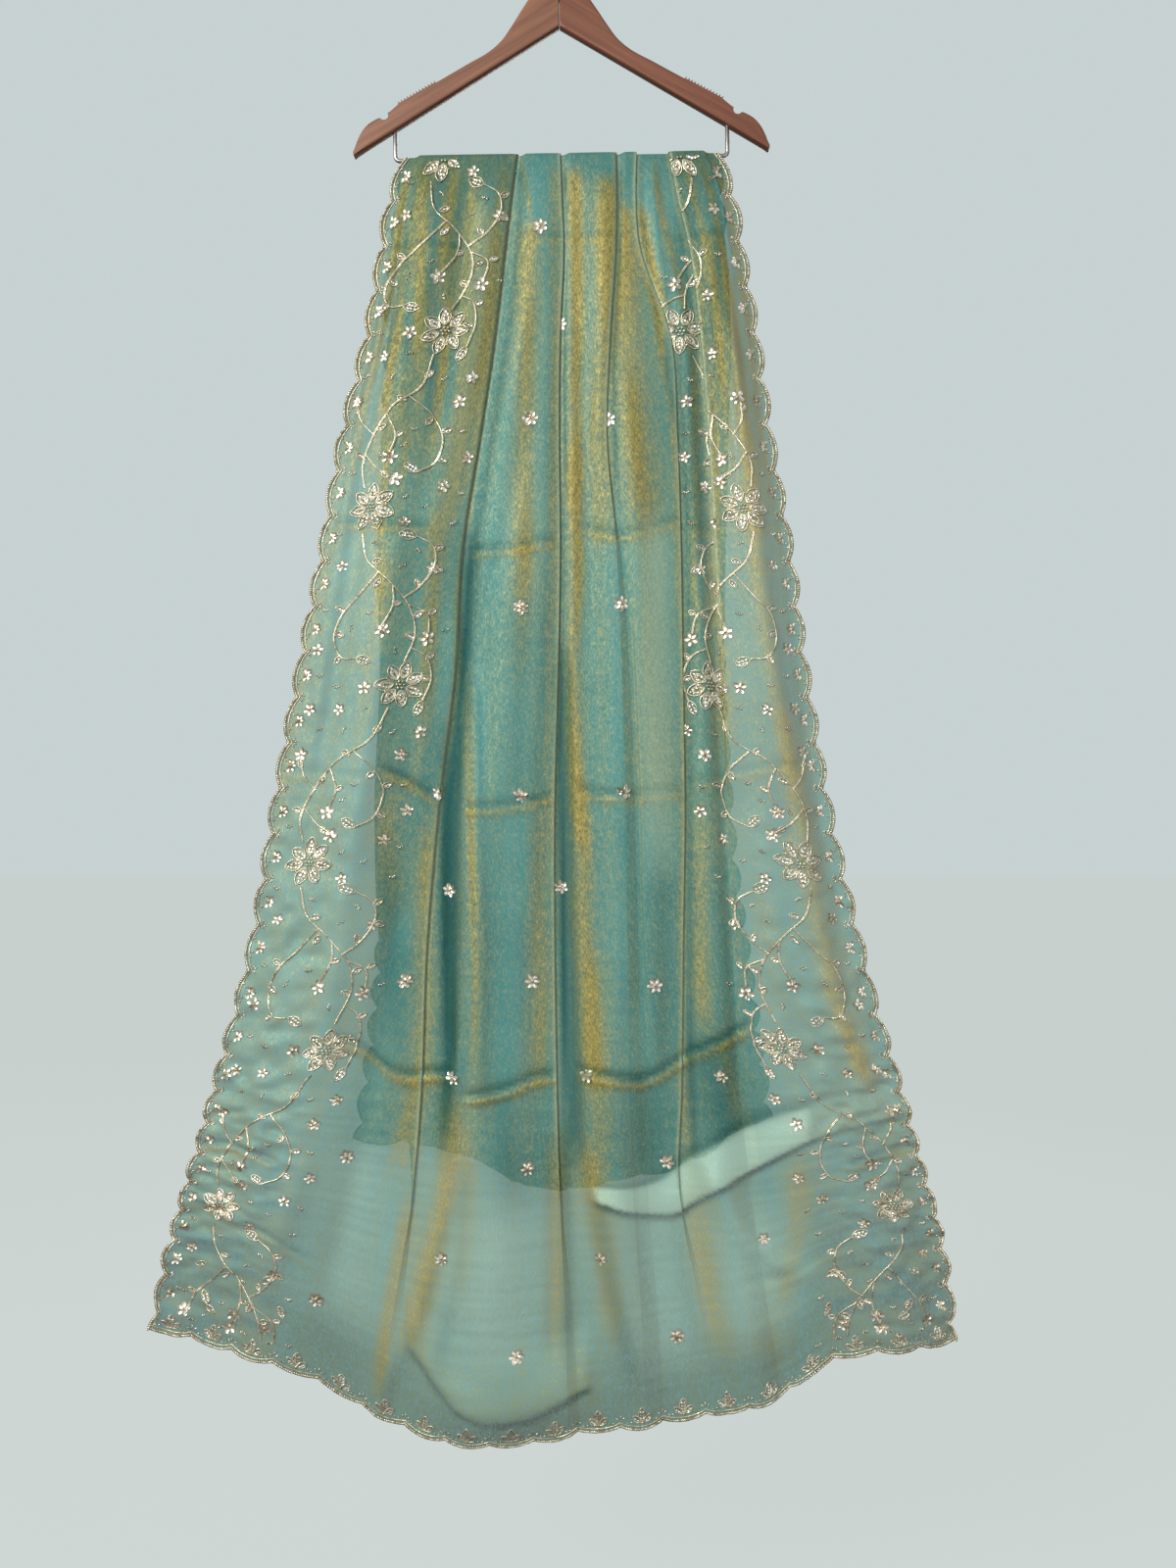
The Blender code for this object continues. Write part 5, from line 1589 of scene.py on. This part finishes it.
def makeSteel(name):
    made, tree, shader = newMaterial(name, **{"Metallic": 1.0, "Base Color": (0.46, 0.43, 0.40, 1.0)})
    link = tree.links.new
    where = addNode(tree, "ShaderNodeTexCoord")
    scuff = addNode(tree, "ShaderNodeTexNoise", {"Scale": 240.0, "Detail": 3.0})
    link(where.outputs["Object"], scuff.inputs["Vector"])
    rough = addNode(tree, "ShaderNodeMapRange", {"To Min": 0.25, "To Max": 0.5})
    link(scuff.outputs[0], rough.inputs["Value"])
    link(rough.outputs[0], shader.inputs["Roughness"])
    return made


# One wood in two tones, lighter for the left arm and darker for the right: painted light and shade for how
# the light falls on each arm
leftWood = makeWood("leftWood", (0.168, 0.062, 0.031, 1.0), (0.285, 0.122, 0.060, 1.0))
rightWood = makeWood("rightWood", (0.150, 0.048, 0.023, 1.0), (0.250, 0.090, 0.043, 1.0))
steel = makeSteel("brightSteel")
armShell("leftArm", -1, "hanger_arm_left", leftWood)
armShell("rightArm", 1, "hanger_arm_right", rightWood)
wire("hookWire", hookPath(), hook["wire"], "hanger_hook", steel)
wire("barWire", barPath(), bar["rod"], "trouser_bar", steel)
print("hanger: made")

# Floor, light and camera
stage = {"floor": -1.95, "size": 14.0, "tone": (0.10, 0.10, 0.10, 1.0),
         "glowTone": (0.51, 0.565, 0.545, 1.0), "seen": (0.57, 0.64, 0.64, 1.0),
         "room": (0.88, 0.94, 0.97, 1.0), "roomLight": 0.40}
floorPoints = np.array([(x, y, stage["floor"]) for x in (-1, 1) for y in (-1, 1)], float)
floorPoints[:, :2] *= stage["size"]
floor = meshFrom("floor", floorPoints, [(0, 2, 3, 1)], smooth=False)
paleFloor, floorTree, floorShader = newMaterial("paleFloor", **{
    "Roughness": 0.9, "Base Color": stage["tone"], "Emission Color": stage["glowTone"],
})
floor.data.materials.append(paleFloor)
sight = addNode(floorTree, "ShaderNodeLightPath")
floorTree.links.new(sight.outputs["Is Camera Ray"], floorShader.inputs["Emission Strength"])

world = bpy.data.worlds.new("softRoom")
world.use_nodes = True
room = world.node_tree
lit = room.nodes["Background"]
lit.inputs[0].default_value, lit.inputs[1].default_value = stage["room"], stage["roomLight"]
seen = addNode(room, "ShaderNodeBackground", {"Color": stage["seen"], "Strength": 1.0})
pick = addNode(room, "ShaderNodeMixShader")
ray = addNode(room, "ShaderNodeLightPath")
room.links.new(ray.outputs["Is Camera Ray"], pick.inputs[0])
room.links.new(lit.outputs[0], pick.inputs[1])
room.links.new(seen.outputs[0], pick.inputs[2])
room.links.new(pick.outputs[0], room.nodes["World Output"].inputs["Surface"])
bpy.context.scene.world = world
bpy.context.scene.view_settings.view_transform = "Standard"


def addLight(name, place, aim, size, power, colour):
    lamp = bpy.data.lights.new(name, "AREA")
    lamp.shape, lamp.size, lamp.energy, lamp.color = "DISK", size, power, colour
    made = bpy.data.objects.new(name, lamp)
    bpy.context.scene.collection.objects.link(made)
    made.location = place
    way = np.array(aim, float) - np.array(place, float)
    made.rotation_euler = Vector(way).to_track_quat("-Z", "Y").to_euler()


# Name, place, aim, size, power and colour of each light
lights = (
    ("keyLight", (-2.1, -2.9, 0.6), (0.0, 0.0, -0.8), 2.2, 142.0, (1.0, 0.98, 0.95)),
    ("fillLight", (1.6, -2.2, -1.3), (0.0, 0.0, -1.1), 1.8, 16.0, (0.95, 0.98, 1.0)),
    ("backLight", (0.6, 2.2, 0.4), (0.0, 0.0, -0.8), 1.6, 24.0, (1.0, 1.0, 1.0)),
)
for row in lights:
    addLight(*row)

camera = {"away": 1.5, "across": 0.0324, "height": -0.924, "lens": 32.2, "film": 36.0, "near": 0.01}
lens = bpy.data.cameras.new("photoView")
lens.sensor_fit = "VERTICAL"
lens.sensor_height = camera["film"]
lens.lens = camera["lens"]
lens.clip_start = camera["near"]
photoView = bpy.data.objects.new("photoView", lens)
bpy.context.scene.collection.objects.link(photoView)
photoView.location = (camera["across"], -camera["away"], camera["height"])
photoView.rotation_euler = (pi / 2, 0.0, 0.0)
bpy.context.scene.camera = photoView
print("stage: light and camera set")
